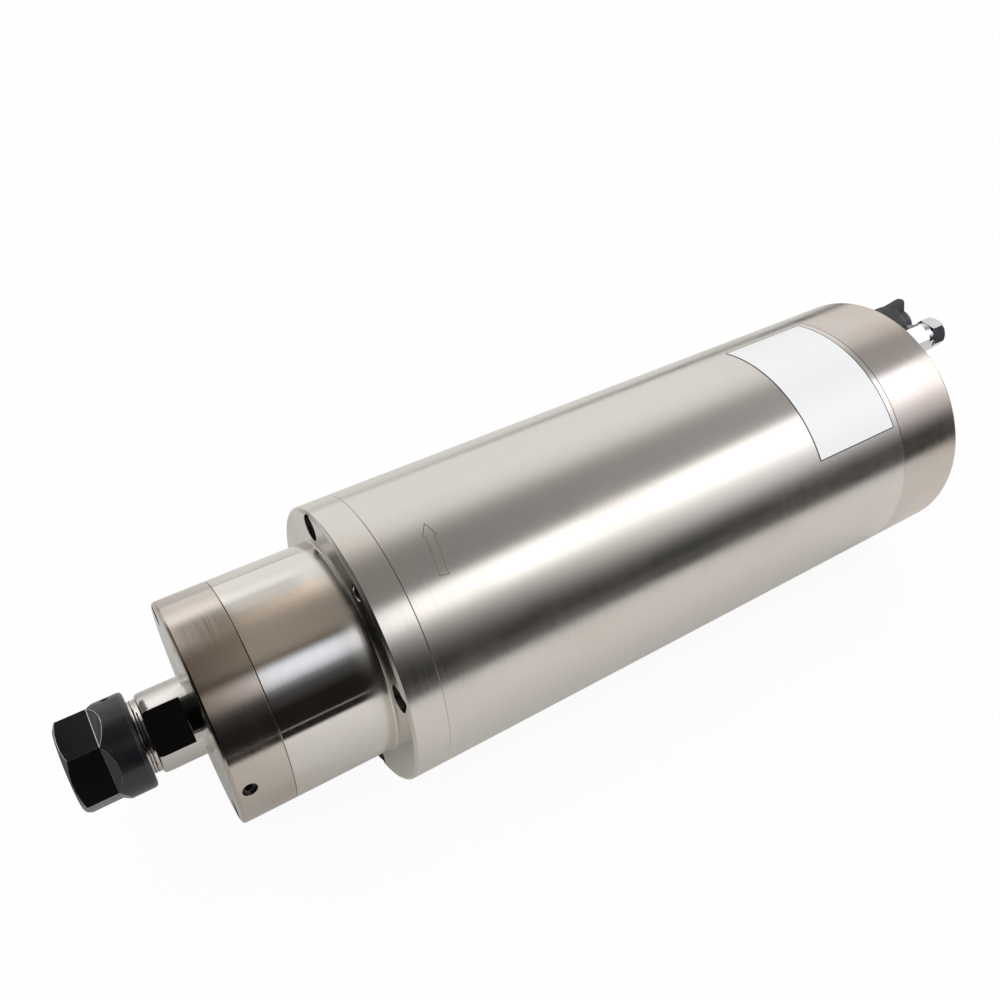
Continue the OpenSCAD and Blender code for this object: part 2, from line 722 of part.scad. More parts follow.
// Outline of one stator slot, less the gap g all round: a tooth-sided trapezoid with a narrow mouth
module slot_outline(g) {
    half0 = slot_r0 * tan(180 / stator_slots) * 0.42 - g;
    half1 = slot_r1 * tan(180 / stator_slots) * 0.62 - g;
    polygon([[slot_r0 + g, -half0], [slot_r1 - g, -half1], [slot_r1 - g, half1], [slot_r0 + g, half0]]);
}

module all_slots(g) {
    for (i = [0:stator_slots - 1]) rotate(i * 360 / stator_slots) slot_outline(g);
}

module stator_core() {
    color([0.3, 0.3, 0.33]) translate([stator_x0, 0, 0]) rotate([0, 90, 0]) linear_extrude(stator_len)
        difference() {
            circle(d = stator_d);
            circle(d = stator_bore);
            all_slots(0);
            for (i = [0:stator_slots - 1]) rotate(i * 360 / stator_slots)
                translate([stator_bore / 2 - 1, -slot_mouth / 2]) square([3.5, slot_mouth]);
        }
}

module end_turns(x0, x1) {
    ri = slot_r0 + 0.6;
    c = 3;
    turned([[ri, x0 + c], [ri + c, x0], [winding_ro - c, x0], [winding_ro, x0 + c], [winding_ro, x1 - c],
        [winding_ro - c, x1], [ri + c, x1], [ri, x1 - c]]);
}

module stator_windings() {
    clear = 1;
    color([0.72, 0.35, 0.15]) union() {
        end_turns(winding_x0, stator_x0 - clear);
        end_turns(stator_x1 + clear, winding_x1);
        translate([stator_x0 - 2, 0, 0]) rotate([0, 90, 0]) linear_extrude(stator_len + 4) all_slots(winding_gap);
    }
}

// Cooling sleeve: a chain of ring grooves with a gap in each rib, on alternate sides
module water_jacket() {
    rib_w = water_pitch - water_w;
    color([0.66, 0.66, 0.68]) difference() {
        ring(flange_t, jacket_x1, jacket_r, jacket_ri);
        for (i = [0:water_count - 1])
            ring(water_x0 + i * water_pitch, water_x0 + i * water_pitch + water_w, jacket_r + 1, water_floor_r);
        for (i = [0:water_count - 2]) radial(58 + 180 * (i % 2))
            translate([water_x0 + i * water_pitch + water_w - 1, water_floor_r, -6]) cube([rib_w + 2, 8, 12]);
        for (x = [flange_t + water_end - jacket_ring_in, jacket_x1 - water_end + jacket_ring_in])
            ring(x - ring_section * 0.65, x + ring_section * 0.65, jacket_r + 1, jacket_r - ring_section + fit);
        around(flange_screw_r, flange_screw_angles)
            rod(flange_t - eps, flange_sink + flange_screw_len + 0.5, m5_d / 2 + tap_gap);
        around(rear_screw_r, rear_screw_angles) rod(jacket_x1 - rear_grip - 0.5, jacket_x1 + eps, m5_d / 2 + tap_gap);
        around(port_r, [fitting_a_angle]) rod(water_x1 + water_w / 2, jacket_x1 + eps, passage_r);
        around(port_r, [fitting_b_angle]) rod(water_x0 + water_w / 2, jacket_x1 + eps, passage_r);
        radial(fitting_a_angle) translate([water_x1 + water_w / 2, cross_r0, 0]) rotate([-90, 0, 0])
            cylinder(h = water_floor_r - cross_r0 + 1, r = passage_r + 0.5);
        radial(fitting_b_angle) translate([water_x0 + water_w / 2, cross_r0, 0]) rotate([-90, 0, 0])
            cylinder(h = water_floor_r - cross_r0 + 1, r = passage_r + 0.5);
    }
}

module jacket_o_rings() {
    color([0.1, 0.1, 0.1]) for (x = [flange_t + water_end - jacket_ring_in, jacket_x1 - water_end + jacket_ring_in])
        seal_ring(x, jacket_r - ring_section / 2 + fit, ring_section - fit);
}

module outer_tube() {
    color([0.82, 0.81, 0.79])
        turned([[tube_ri, flange_t], [body_r - seam, flange_t], [body_r, flange_t + seam],
            [body_r, tube_x1 - seam], [body_r - seam, tube_x1], [tube_ri, tube_x1]]);
}

module rear_bearing_plate() {
    color([0.6, 0.6, 0.62]) difference() {
        union() {
            rod(jacket_x1, plate_x1, tube_ri - fit);
            rod(plate_x1 - eps, hub_x1, hub_r);
        }
        rod(jacket_x1 - eps, rear_seat_x + eps, rear_od / 2 - 4);
        rod(rear_seat_x, hub_x1 + eps, rear_od / 2 + fit);
        around(rear_screw_r, rear_screw_angles) rod(jacket_x1 - eps, plate_x1 + eps, m5_d / 2 + hole_gap);
        around(port_r, port_angles) {
            rod(jacket_x1 - eps, plate_x1 + eps, passage_r);
            rod(jacket_x1 - eps, jacket_x1 + port_ring, port_ring_r + port_ring / 2 + fit);
        }
        around(lead_r, lead_angles) rod(jacket_x1 - eps, plate_x1 + eps, pin_d / 2 + lead_gap);
    }
}

// Wave spring, drawn as the space that its turns fill
module wave_spring() {
    color([0.5, 0.5, 0.55]) ring(rear_seat_x, rear_brg_x, rear_od / 2 - 0.5, rear_od / 2 - 3.5);
}

module rear_bearing_outer() {
    color([0.7, 0.7, 0.72]) bearing_outer(rear_brg_x, rear_bore, rear_od, rear_w, rear_ball);
}

module rear_bearing_inner() {
    color([0.7, 0.7, 0.72]) bearing_inner(rear_brg_x, rear_bore, rear_od, rear_w, rear_ball);
}

module rear_bearing_balls() {
    color([0.85, 0.85, 0.87]) bearing_balls(rear_brg_x, rear_bore, rear_od, rear_w, rear_ball, rear_balls);
}

module rear_bearing_cage() {
    color([0.55, 0.45, 0.3]) bearing_cage(rear_brg_x, rear_bore, rear_od, rear_w, rear_ball, rear_balls);
}

module rear_bearing_cover() {
    color([0.6, 0.6, 0.62]) ring(rear_brg_x + rear_w, hub_x1, rear_od / 2, rear_nut_r + 1.5);
}

module rear_lock_nut() {
    x0 = rear_brg_x + rear_w;
    color([0.4, 0.4, 0.42]) difference() {
        ring(x0, x0 + rear_nut_len, rear_nut_r, rear_bore / 2);
        for (a = [0:90:270]) radial(a)
            translate([x0 + rear_nut_len - 3, rear_nut_r - 2, -2]) cube([4, 4, 4]);
    }
}

module rear_cap() {
    color([0.72, 0.67, 0.6]) difference() {
        turned([[0, plate_x1], [tube_ri - fit, plate_x1], [tube_ri - fit, tube_x1], [body_r - seam, tube_x1],
            [body_r, tube_x1 + seam], [body_r, rear_x - edge], [body_r - edge * 0.3, rear_x - edge * 0.3],
            [body_r - edge, rear_x], [0, rear_x]]);
        rod(plate_x1 - eps, cavity_x1, cavity_r);
        around(connector_r, [connector_angle]) {
            rod(plate_x1 - eps, cavity_x1, conn_pocket_r);
            rod(cavity_x1 - eps, rear_x + eps, conn_thread_r + conn_hole_gap);
        }
        around(rear_screw_r, rear_screw_angles) {
            rod(plate_x1 - eps, rear_x, m5_d / 2 + hole_gap);
            rod(rear_x - m5_sink, rear_x + eps, m5_head_d / 2 + head_gap);
        }
        around(port_r, port_angles) {
            rod(plate_x1 - eps, rear_x, passage_r);
            rod(plate_x1 - eps, plate_x1 + port_ring, port_ring_r + port_ring / 2 + fit);
            rod(cavity_x1, rear_x + eps, port_thread_d / 2 + tap_gap);
        }
    }
}

module rear_cap_screws() {
    len = rear_x - m5_sink - jacket_x1 + rear_grip;
    color([0.3, 0.3, 0.31]) around(rear_screw_r, rear_screw_angles)
        translate([rear_x, 0, 0]) mirror([1, 0, 0]) cap_screw(m5_sink - m5_head_h, m5_d, len, m5_head_d, m5_head_h);
}

module port_seals() {
    color([0.1, 0.1, 0.1]) around(port_r, port_angles) {
        seal_ring(jacket_x1 + port_ring / 2, port_ring_r, port_ring);
        seal_ring(plate_x1 + port_ring / 2, port_ring_r, port_ring);
    }
}

// Places of the contact pins, measured from the connector's own axis
module at_pins(pins = [0:pin_count - 1]) {
    around(connector_r, [connector_angle])
        around(pin_circle_r, [for (i = pins) 45 + i * 360 / pin_count]) children();
}

// Leads side by side from the windings past the rear bearing, then bent out to their pins
module motor_leads() {
    thin = 0.8 * pin_d / 2;
    color([0.7, 0.2, 0.15]) for (i = [0:pin_count - 1]) union() {
        around(lead_r, [lead_angles[i]]) rod(winding_x1, lead_bend_x + 1, pin_d / 2);
        hull() {
            around(lead_r, [lead_angles[i]]) rod(lead_bend_x, lead_bend_x + 0.1, thin, $fn = 16);
            at_pins([lead_pins[i]]) rod(pin_x0 - 1, pin_x0 - 0.9, thin, $fn = 16);
        }
        at_pins([lead_pins[i]]) rod(pin_x0 - 2, pin_x0, pin_d / 2);
    }
}

module connector_pins() {
    color([0.8, 0.65, 0.35]) at_pins() {
        rod(pin_x0, pin_x1 - 1, pin_d / 2);
        cone(pin_x1 - 1, pin_x1, pin_d / 2, pin_d / 4);
    }
}

module connector_insert() {
    x1 = conn_barrel_x1 - insert_recess;
    color([0.15, 0.15, 0.15]) difference() {
        around(connector_r, [connector_angle]) rod(conn_tail_x, x1, conn_insert_d / 2 - fit);
        at_pins() rod(conn_tail_x - eps, x1 + eps, pin_d / 2 + fit);
    }
}

module connector_shell() {
    x0 = rear_x + conn_flange_t;
    color([0.12, 0.12, 0.13]) around(connector_r, [connector_angle]) difference() {
        turned([[0, conn_tail_x], [conn_thread_r, conn_tail_x], [conn_thread_r, rear_x], [conn_flange_d / 2, rear_x],
            [conn_flange_d / 2, x0 - 0.5], [conn_flange_d / 2 - 0.5, x0], [conn_barrel_d / 2, x0],
            [conn_barrel_d / 2, conn_barrel_x1 - 0.5], [conn_barrel_d / 2 - 0.5, conn_barrel_x1], [0, conn_barrel_x1]]);
        rod(conn_tail_x - eps, conn_barrel_x1 + eps, conn_insert_d / 2);
    }
}

module connector_nut() {
    color([0.5, 0.5, 0.52]) around(connector_r, [connector_angle]) difference() {
        hex_bar(cavity_x1 - conn_nut_len, cavity_x1, conn_nut_af);
        rod(cavity_x1 - conn_nut_len - eps, cavity_x1 + eps, conn_thread_r + tap_gap);
    }
}

// Pull tab of the dust cap: a rounded tongue on the side away from the axis, wider at its root
module pull_tab() {
    tip_r = 1.45;
    root_r = dust_d / 2 - tip_r;
    radial(connector_angle) hull()
        for (side = [-1, 1]) {
            translate([dust_x1 - 2.4, tab_reach - tip_r, 0.8 * side]) sphere(tip_r, $fn = 24);
            translate([dust_x1 - 3.3, dust_end_d / 2 - 0.1, 1.7 * side]) sphere(tip_r, $fn = 24);
            translate([dust_x1 - 9.8, root_r, 1.7 * side]) sphere(tip_r, $fn = 24);
        }
}

module dust_cap() {
    waist_x = dust_room_x1 + 0.4;
    waist_len = 2.5;
    color([0.17, 0.18, 0.19]) around(connector_r, [connector_angle]) difference() {
        union() {
            turned([[0, dust_x0], [dust_d / 2, dust_x0], [dust_d / 2, waist_x - 0.8], [dust_d / 2 - 0.8, waist_x],
                [dust_end_d / 2, waist_x + waist_len], [dust_end_d / 2, dust_x1 - dust_round],
                [dust_end_d / 2 - dust_round * 0.3, dust_x1 - dust_round * 0.3],
                [dust_end_d / 2 - dust_round, dust_x1], [0, dust_x1]]);
            pull_tab();
        }
        rod(dust_x0 - eps, dust_room_x1, dust_ri);
    }
}

// Body of a hose fitting, on the axis: threaded stub, hexagon, neck, nut thread and hose stem
module fitting_body() {
    hex_r = fitting_hex_r;
    difference() {
        union() {
            rod(cavity_x1 + 0.5, rear_x + eps, port_thread_d / 2);
            intersection() {
                hex_bar(rear_x, fitting_hex_x1, fitting_af);
                hex_crown(rear_x, fitting_hex_x1, hex_r + eps, 0.5);
            }
            rod(fitting_hex_x1 - 1, fitting_neck_x1, neck_d / 2);
            rod(fitting_neck_x1 - 1, fitting_thread_x1, fitting_thread_r);
            rod(fitting_thread_x1 - 1, stem_x1 - 1, stem_r);
            cone(stem_x1 - 1, stem_x1, stem_r, stem_r - 0.4);
        }
        rod(cavity_x1, stem_x1 + eps, passage_r - 0.2);
    }
}

// Clamping ring that the hose nut presses on the hose
module ferrule() {
    x0 = fitting_thread_x1 + ferrule_gap;
    ring(x0, x0 + ferrule_len, fitting_thread_r - 0.1, hose_bore_r);
}

module hose_nut() {
    hex_r = hose_nut_af / 2 / cos(30);
    difference() {
        intersection() {
            hex_bar(hose_nut_x0, hose_nut_x1, hose_nut_af);
            turned([[0, hose_nut_x0], [hex_r + eps, hose_nut_x0], [hex_r + eps, hose_nut_x1 - 2.4],
                [hose_nut_af / 2 + 0.1, hose_nut_x1 - 0.9], [hose_nut_af / 2 - 1, hose_nut_x1], [0, hose_nut_x1]]);
        }
        rod(hose_nut_x0 - eps, hose_nut_x1 - nut_lip, fitting_thread_r + nut_bore_gap);
        rod(hose_nut_x1 - nut_lip - 1, hose_nut_x1 + eps, hose_bore_r);
    }
}

module fitting_body_a() {
    color([0.88, 0.88, 0.9]) around(port_r, [fitting_a_angle]) fitting_body();
}

module fitting_body_b() {
    color([0.88, 0.88, 0.9]) around(port_r, [fitting_b_angle]) fitting_body();
}

module ferrule_a() {
    color([0.8, 0.65, 0.35]) around(port_r, [fitting_a_angle]) ferrule();
}

module ferrule_b() {
    color([0.8, 0.65, 0.35]) around(port_r, [fitting_b_angle]) ferrule();
}

module hose_nut_a() {
    color([0.85, 0.85, 0.87]) around(port_r, [fitting_a_angle]) hose_nut();
}

module hose_nut_b() {
    color([0.85, 0.85, 0.87]) around(port_r, [fitting_b_angle]) hose_nut();
}

collet_nut();
collet();
spindle_shaft();
front_lock_nut();
front_cover();
cover_screws();
grease_screw();
front_housing();
flange_screws();
front_o_ring();
bearing_a_outer();
bearing_a_inner();
bearing_a_balls();
bearing_a_cage();
bearing_b_outer();
bearing_b_inner();
bearing_b_balls();
bearing_b_cage();
inner_spacer();
outer_spacer();
rotor_core();
rotor_cage();
stator_core();
stator_windings();
water_jacket();
jacket_o_rings();
outer_tube();
rear_bearing_plate();
wave_spring();
rear_bearing_outer();
rear_bearing_inner();
rear_bearing_balls();
rear_bearing_cage();
rear_bearing_cover();
rear_lock_nut();
rear_cap();
rear_cap_screws();
port_seals();
motor_leads();
connector_shell();
connector_nut();
connector_insert();
connector_pins();
dust_cap();
fitting_body_a();
fitting_body_b();
ferrule_a();
ferrule_b();
hose_nut_a();
hose_nut_b();
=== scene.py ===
"""Looks of a water-cooled drilling motor spindle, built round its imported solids. Lengths are in metres."""

import json
import math

import bmesh
import bpy
from mathutils import Matrix, Vector


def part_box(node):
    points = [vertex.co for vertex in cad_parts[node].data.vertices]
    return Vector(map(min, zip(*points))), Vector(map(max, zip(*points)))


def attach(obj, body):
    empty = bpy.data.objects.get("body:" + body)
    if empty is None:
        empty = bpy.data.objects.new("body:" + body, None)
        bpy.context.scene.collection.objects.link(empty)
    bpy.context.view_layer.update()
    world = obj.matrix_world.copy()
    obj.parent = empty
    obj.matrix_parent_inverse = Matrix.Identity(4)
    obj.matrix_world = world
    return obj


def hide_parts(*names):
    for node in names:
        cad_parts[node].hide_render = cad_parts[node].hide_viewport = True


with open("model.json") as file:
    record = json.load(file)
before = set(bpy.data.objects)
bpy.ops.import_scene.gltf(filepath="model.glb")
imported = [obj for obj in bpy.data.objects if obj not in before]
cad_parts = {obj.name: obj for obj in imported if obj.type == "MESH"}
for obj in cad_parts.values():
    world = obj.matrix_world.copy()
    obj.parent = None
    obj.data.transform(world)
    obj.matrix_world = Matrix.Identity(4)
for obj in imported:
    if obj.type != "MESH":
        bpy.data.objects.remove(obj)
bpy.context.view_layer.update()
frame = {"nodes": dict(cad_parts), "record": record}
nodes = frame["nodes"]

MM = 0.001
SQUARE_MM = MM * MM
SMOOTH_ANGLE = 30
WHITE = (1, 1, 1, 1)

# Sizes that come from the solids
body_low, body_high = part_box("outer_tube")
BODY_R = body_high.z
TUBE_X0, TUBE_X1 = body_low.x, body_high.x
NOSE_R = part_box("front_cover")[1].z
FLOOR_Z = body_low.z
NUT_FRONT, NUT_BACK = (corner.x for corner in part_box("collet_nut"))
SHAFT_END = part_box("front_cover")[0].x

# The shaft's front land and the way that its two flats face. The stations of its front corner are
# (distance behind LAND_X0, radius) in mm, in the solid and as shown.
FLAT_ANGLE = math.radians(132.5)
FLAT_WAY = Vector((0, math.cos(FLAT_ANGLE), math.sin(FLAT_ANGLE)))
LAND_X0 = SHAFT_END - 15.4 * MM
CORNER_WAS = ((0.0, 13.0), (0.7, 13.55), (1.6, 13.85), (2.8, 14.0))
CORNER_IS = ((-0.6, 13.3), (0.0, 13.8), (1.0, 13.97), (2.8, 14.0))
CORNER_SLACK = 0.01
FLAT_DEPTH = 11.53 * MM
FLAT_X = (LAND_X0 - 0.7 * MM, LAND_X0 + 11.8 * MM)
FLAT_LEAST_AREA = 20 * SQUARE_MM
CUTTER_DEPTH = 10 * MM
CUTTER_WIDTH = 4 * CUTTER_DEPTH

# The camera of the photograph
CAMERA_PLACE = Vector((-71.44, -219.43, 272.12)) * MM
CAMERA_AHEAD = Vector((0.3920, 0.6305, -0.6697))
CAMERA_RIGHT = Vector((0.849, -0.528, 0.0))
CAMERA_LENS = 34.98
CAMERA_SENSOR = 36
CAMERA_CLIP = (0.01, 50)


def place_camera():
    camera = bpy.data.objects.new("camera", bpy.data.cameras.new("camera"))
    bpy.context.scene.collection.objects.link(camera)
    bpy.context.scene.camera = camera
    camera.data.sensor_width = CAMERA_SENSOR
    camera.data.lens = CAMERA_LENS
    camera.data.clip_start, camera.data.clip_end = CAMERA_CLIP
    back = -CAMERA_AHEAD.normalized()
    right = (CAMERA_RIGHT - back * CAMERA_RIGHT.dot(back)).normalized()
    up = back.cross(right)
    turn = Matrix((right, up, back)).transposed()
    camera.matrix_world = Matrix.Translation(CAMERA_PLACE) @ turn.to_4x4()


# Node helpers


class Tree:
    """A node tree with short calls for the nodes that it needs."""

    def __init__(self, tree):
        self.tree = tree
        self.links = tree.links
        tree.nodes.clear()

    def add(self, kind, **values):
        node = self.tree.nodes.new(kind)
        for name, value in values.items():
            setattr(node, name, value)
        return node

    def feed(self, value, socket):
        if isinstance(value, bpy.types.NodeSocket):
            self.links.new(value, socket)
        else:
            socket.default_value = value

    def math(self, operation, a, b=0.0, c=0.0):
        node = self.add("ShaderNodeMath", operation=operation)
        for value, socket in zip((a, b, c), node.inputs):
            self.feed(value, socket)
        return node.outputs[0]

    def plus(self, a, b):
        return self.math("ADD", a, b)

    def less(self, a, b):
        return self.math("SUBTRACT", a, b)

    def times(self, product, *factors):
        for factor in factors:
            product = self.math("MULTIPLY", product, factor)
        return product

    def ease(self, value, low, high, out_low=0.0, out_high=1.0, shape="SMOOTHSTEP"):
        """A value that goes from out_low to out_high while the given one goes from low to high."""
        node = self.add("ShaderNodeMapRange", interpolation_type=shape)
        labels = ("Value", "From Min", "From Max", "To Min", "To Max")
        for given, label in zip((value, low, high, out_low, out_high), labels):
            self.feed(given, node.inputs[label])
        return node.outputs["Result"]

    def mix(self, amount, a, b, blend="MIX"):
        """Two colours mixed. The colour sockets of the node are its inputs 6 and 7, and its output 2."""
        node = self.add("ShaderNodeMix", data_type="RGBA", blend_type=blend, clamp_factor=True)
        self.feed(amount, node.inputs["Factor"])
        self.feed(a, node.inputs[6])
        self.feed(b, node.inputs[7])
        return node.outputs[2]

    def ramp(self, value, stops):
        """Grey levels along a value, from (value, level) stops. Levels over 1 are allowed."""
        low, high = stops[0][0], stops[-1][0]
        top = max(level for place, level in stops)
        node = self.add("ShaderNodeValToRGB")
        elements = node.color_ramp.elements
        while len(elements) < len(stops):
            elements.new(0.5)
        for element, (place, level) in zip(elements, stops):
            element.position = (place - low) / (high - low)
            element.color = (level / top, level / top, level / top, 1)
        self.feed(self.ease(value, low, high, 0, 1, "LINEAR"), node.inputs[0])
        return self.times(node.outputs[0], top)

    def tinted(self, level, tint):
        """A grey level turned into a colour of that level times the tint."""
        node = self.add("ShaderNodeVectorMath", operation="SCALE")
        self.feed(tint, node.inputs[0])
        self.feed(level, node.inputs["Scale"])
        return node.outputs[0]

    def noise(self, vector, scale, detail=2.0, rough=0.5):
        node = self.add("ShaderNodeTexNoise", noise_dimensions="3D")
        for value, label in ((vector, "Vector"), (scale, "Scale"), (detail, "Detail"), (rough, "Roughness")):
            self.feed(value, node.inputs[label])
        return node.outputs["Fac"]

    def lathe_noise(self, vector, along, across, detail, rough):
        """Noise of a turned surface, with its cells per metre along the axis and across it."""
        node = self.add("ShaderNodeVectorMath", operation="MULTIPLY")
        self.feed(vector, node.inputs[0])
        self.feed((along, across, across), node.inputs[1])
        return self.noise(node.outputs[0], 1.0, detail, rough)


def shader_group(name, inputs, outputs):
    """An empty shader group with its sockets. Inputs are (name, kind, value), and outputs (name, kind)."""
    group = bpy.data.node_groups.new(name, "ShaderNodeTree")
    tree = Tree(group)
    for label, kind, value in inputs:
        socket = group.interface.new_socket(name=label, in_out="INPUT", socket_type="NodeSocket" + kind)
        socket.default_value = value
    for label, kind in outputs:
        group.interface.new_socket(name=label, in_out="OUTPUT", socket_type="NodeSocket" + kind)
    return group, tree, tree.add("NodeGroupInput").outputs, tree.add("NodeGroupOutput").inputs


DULL_RUN = 12 * MM
FINISH_OUTPUTS = [("Colour", "Color"), ("Roughness", "Float"), ("Height", "Float")]


def turned_metal_group():
    """Turned or ground metal: fine marks round the axis, faint stains, and small changes in its gloss."""
    group, t, given, put = shader_group(
        "turned metal",
        [("Colour", "Color", (0.7, 0.7, 0.7, 1)), ("Stain", "Color", (0.5, 0.4, 0.3, 1)),
         ("Stain Amount", "Float", 0.2), ("Gloss Low", "Float", 0.2), ("Gloss High", "Float", 0.3),
         ("Mark Strength", "Float", 0.5), ("Dull From", "Float", 1.0), ("Dull Amount", "Float", 0.0)],
        FINISH_OUTPUTS)
    place = t.add("ShaderNodeTexCoord").outputs["Object"]
    fine = t.lathe_noise(place, 9000, 60, 3, 0.7)
    broad = t.lathe_noise(place, 900, 12, 2, 0.6)
    stain = t.ease(t.lathe_noise(place, 18, 30, 3, 0.55), 0.42, 0.72)
    coloured = t.mix(t.times(stain, given["Stain Amount"]), given["Colour"], given["Stain"])
    marks = t.times(t.less(fine, 0.5), given["Mark Strength"])
    shade = t.math("MULTIPLY_ADD", marks, 0.25, 1.0)
    grey = t.add("ShaderNodeCombineColor")
    for socket in grey.inputs[:3]:
        t.feed(shade, socket)
    t.feed(t.mix(1.0, coloured, grey.outputs[0], "MULTIPLY"), put["Colour"])
    change = t.ease(t.plus(t.times(broad, 0.6), t.times(stain, 0.4)), 0.2, 0.8)
    spread = t.less(given["Gloss High"], given["Gloss Low"])
    gloss = t.math("MULTIPLY_ADD", change, spread, given["Gloss Low"])
    apart = t.add("ShaderNodeSeparateXYZ")
    t.feed(place, apart.inputs[0])
    past = t.less(apart.outputs[0], given["Dull From"])
    t.feed(t.plus(gloss, t.times(t.ease(past, 0, DULL_RUN), given["Dull Amount"])), put["Roughness"])
    height = t.plus(t.times(fine, 0.35), t.times(broad, 0.65))
    t.feed(t.times(height, given["Mark Strength"]), put["Height"])
    return group


def wiped_surface_group():
    """Handled surface of no grain: dust specks and cloudy changes in gloss."""
    group, t, given, put = shader_group(
        "wiped surface",
        [("Colour", "Color", (0.05, 0.05, 0.05, 1)), ("Dust", "Color", (0.3, 0.3, 0.3, 1)),
         ("Dust Amount", "Float", 0.1), ("Gloss Low", "Float", 0.3), ("Gloss High", "Float", 0.5),
         ("Grain Size", "Float", 900.0)],
        FINISH_OUTPUTS)
    place = t.add("ShaderNodeTexCoord").outputs["Object"]
    cloud = t.noise(place, 140, 4, 0.6)
    specks = t.ease(t.noise(place, 2200, 1, 0.4), 0.70, 0.78)
    film = t.times(t.ease(cloud, 0.4, 0.8), 0.5)
    dusty = t.times(t.math("MAXIMUM", specks, film), given["Dust Amount"])
    t.feed(t.mix(dusty, given["Colour"], given["Dust"]), put["Colour"])
    spread = t.less(given["Gloss High"], given["Gloss Low"])
    t.feed(t.math("MULTIPLY_ADD", t.ease(cloud, 0.3, 0.7), spread, given["Gloss Low"]), put["Roughness"])
    t.feed(t.noise(place, given["Grain Size"]), put["Height"])
    return group


TURNED = turned_metal_group()
WIPED = wiped_surface_group()


def material(name, group, values, bump, depth, **direct):
    """A Principled material whose colour, roughness and relief come from a shared group."""
    made = bpy.data.materials.new(name)
    made.use_nodes = True
    t = Tree(made.node_tree)
    finish = t.add("ShaderNodeGroup", node_tree=group)
    for label, value in values.items():
        finish.inputs[label].default_value = (*value, 1) if isinstance(value, tuple) else value
    relief = t.add("ShaderNodeBump")
    relief.inputs["Strength"].default_value = bump
    relief.inputs["Distance"].default_value = depth
    t.links.new(finish.outputs["Height"], relief.inputs["Height"])
    skin = t.add("ShaderNodeBsdfPrincipled")
    for label, value in direct.items():
        skin.inputs[label.replace("_", " ")].default_value = value
    t.links.new(finish.outputs["Colour"], skin.inputs["Base Color"])
    t.links.new(finish.outputs["Roughness"], skin.inputs["Roughness"])
    t.links.new(relief.outputs["Normal"], skin.inputs["Normal"])
    t.links.new(skin.outputs[0], t.add("ShaderNodeOutputMaterial").inputs["Surface"])
    return made


def metal(name, colour, stain, stain_amount, gloss, marks=0.5, bump=0.1, dull=(1.0, 0.0)):
    """Turned metal. It can get duller from a station along the axis: the two values of dull."""
    values = {"Colour": colour, "Stain": stain, "Stain Amount": stain_amount, "Mark Strength": marks,
              "Gloss Low": gloss[0], "Gloss High": gloss[1], "Dull From": dull[0], "Dull Amount": dull[1]}
    return material(name, TURNED, values, bump, 0.02 * MM, Metallic=1.0)


def plain(name, colour, dust, dust_amount, gloss, grain=900.0, bump=0.1, **direct):
    """A surface of no grain. The grain is the number of cells per metre in its relief."""
    values = {"Colour": colour, "Dust": dust, "Dust Amount": dust_amount,
              "Gloss Low": gloss[0], "Gloss High": gloss[1], "Grain Size": grain}
    return material(name, WIPED, values, bump, 0.05 * MM, **direct)


# Metals: colour, colour of the stains and their amount, lowest and highest roughness, marks, relief
polished = metal("polished steel", (0.70, 0.665, 0.62), (0.66, 0.60, 0.54), 0.25, (0.20, 0.26), 0.5, 0.08)
mirror_turned = metal("mirror turned steel", (0.74, 0.705, 0.655), (0.66, 0.58, 0.48), 0.4, (0.07, 0.13),
                      0.7, dull=(-12 * MM, 0.16))
warm_ring = metal("straw tinted steel", (0.62, 0.56, 0.505), (0.50, 0.40, 0.32), 0.5, (0.12, 0.20), 0.7)
warm_cap = metal("warm steel", (0.62, 0.565, 0.522), (0.60, 0.49, 0.40), 0.45, (0.18, 0.26), 0.5, 0.08)
ground = metal("ground steel", (0.72, 0.69, 0.65), (0.6, 0.55, 0.5), 0.2, (0.10, 0.16), 0.5, 0.08)
flat_steel = metal("dark ground flats", (0.30, 0.27, 0.25), (0.2, 0.17, 0.15), 0.2, (0.03, 0.06), 0.3, 0.02)
bright_plate = metal("bright plate", (0.70, 0.70, 0.71), (0.6, 0.6, 0.6), 0.2, (0.05, 0.12), 0.3, 0.05)
spring_steel = metal("spring steel", (0.62, 0.62, 0.63), (0.5, 0.5, 0.5), 0.2, (0.15, 0.25))
inner_steel = metal("inner steel", (0.6, 0.6, 0.61), (0.5, 0.5, 0.5), 0.2, (0.15, 0.25))
brass = metal("turned brass", (0.78, 0.60, 0.32), (0.6, 0.42, 0.2), 0.3, (0.2, 0.3), 0.6)
aluminium = metal("turned aluminium", (0.75, 0.75, 0.76), (0.65, 0.65, 0.66), 0.2, (0.25, 0.35), 0.7)
laminations = metal("laminations", (0.33, 0.33, 0.35), (0.25, 0.24, 0.23), 0.3, (0.35, 0.5), 1.5, 0.4)
copper = metal("varnished copper", (0.72, 0.36, 0.18), (0.45, 0.2, 0.1), 0.5, (0.3, 0.45), 1.5, 0.4)

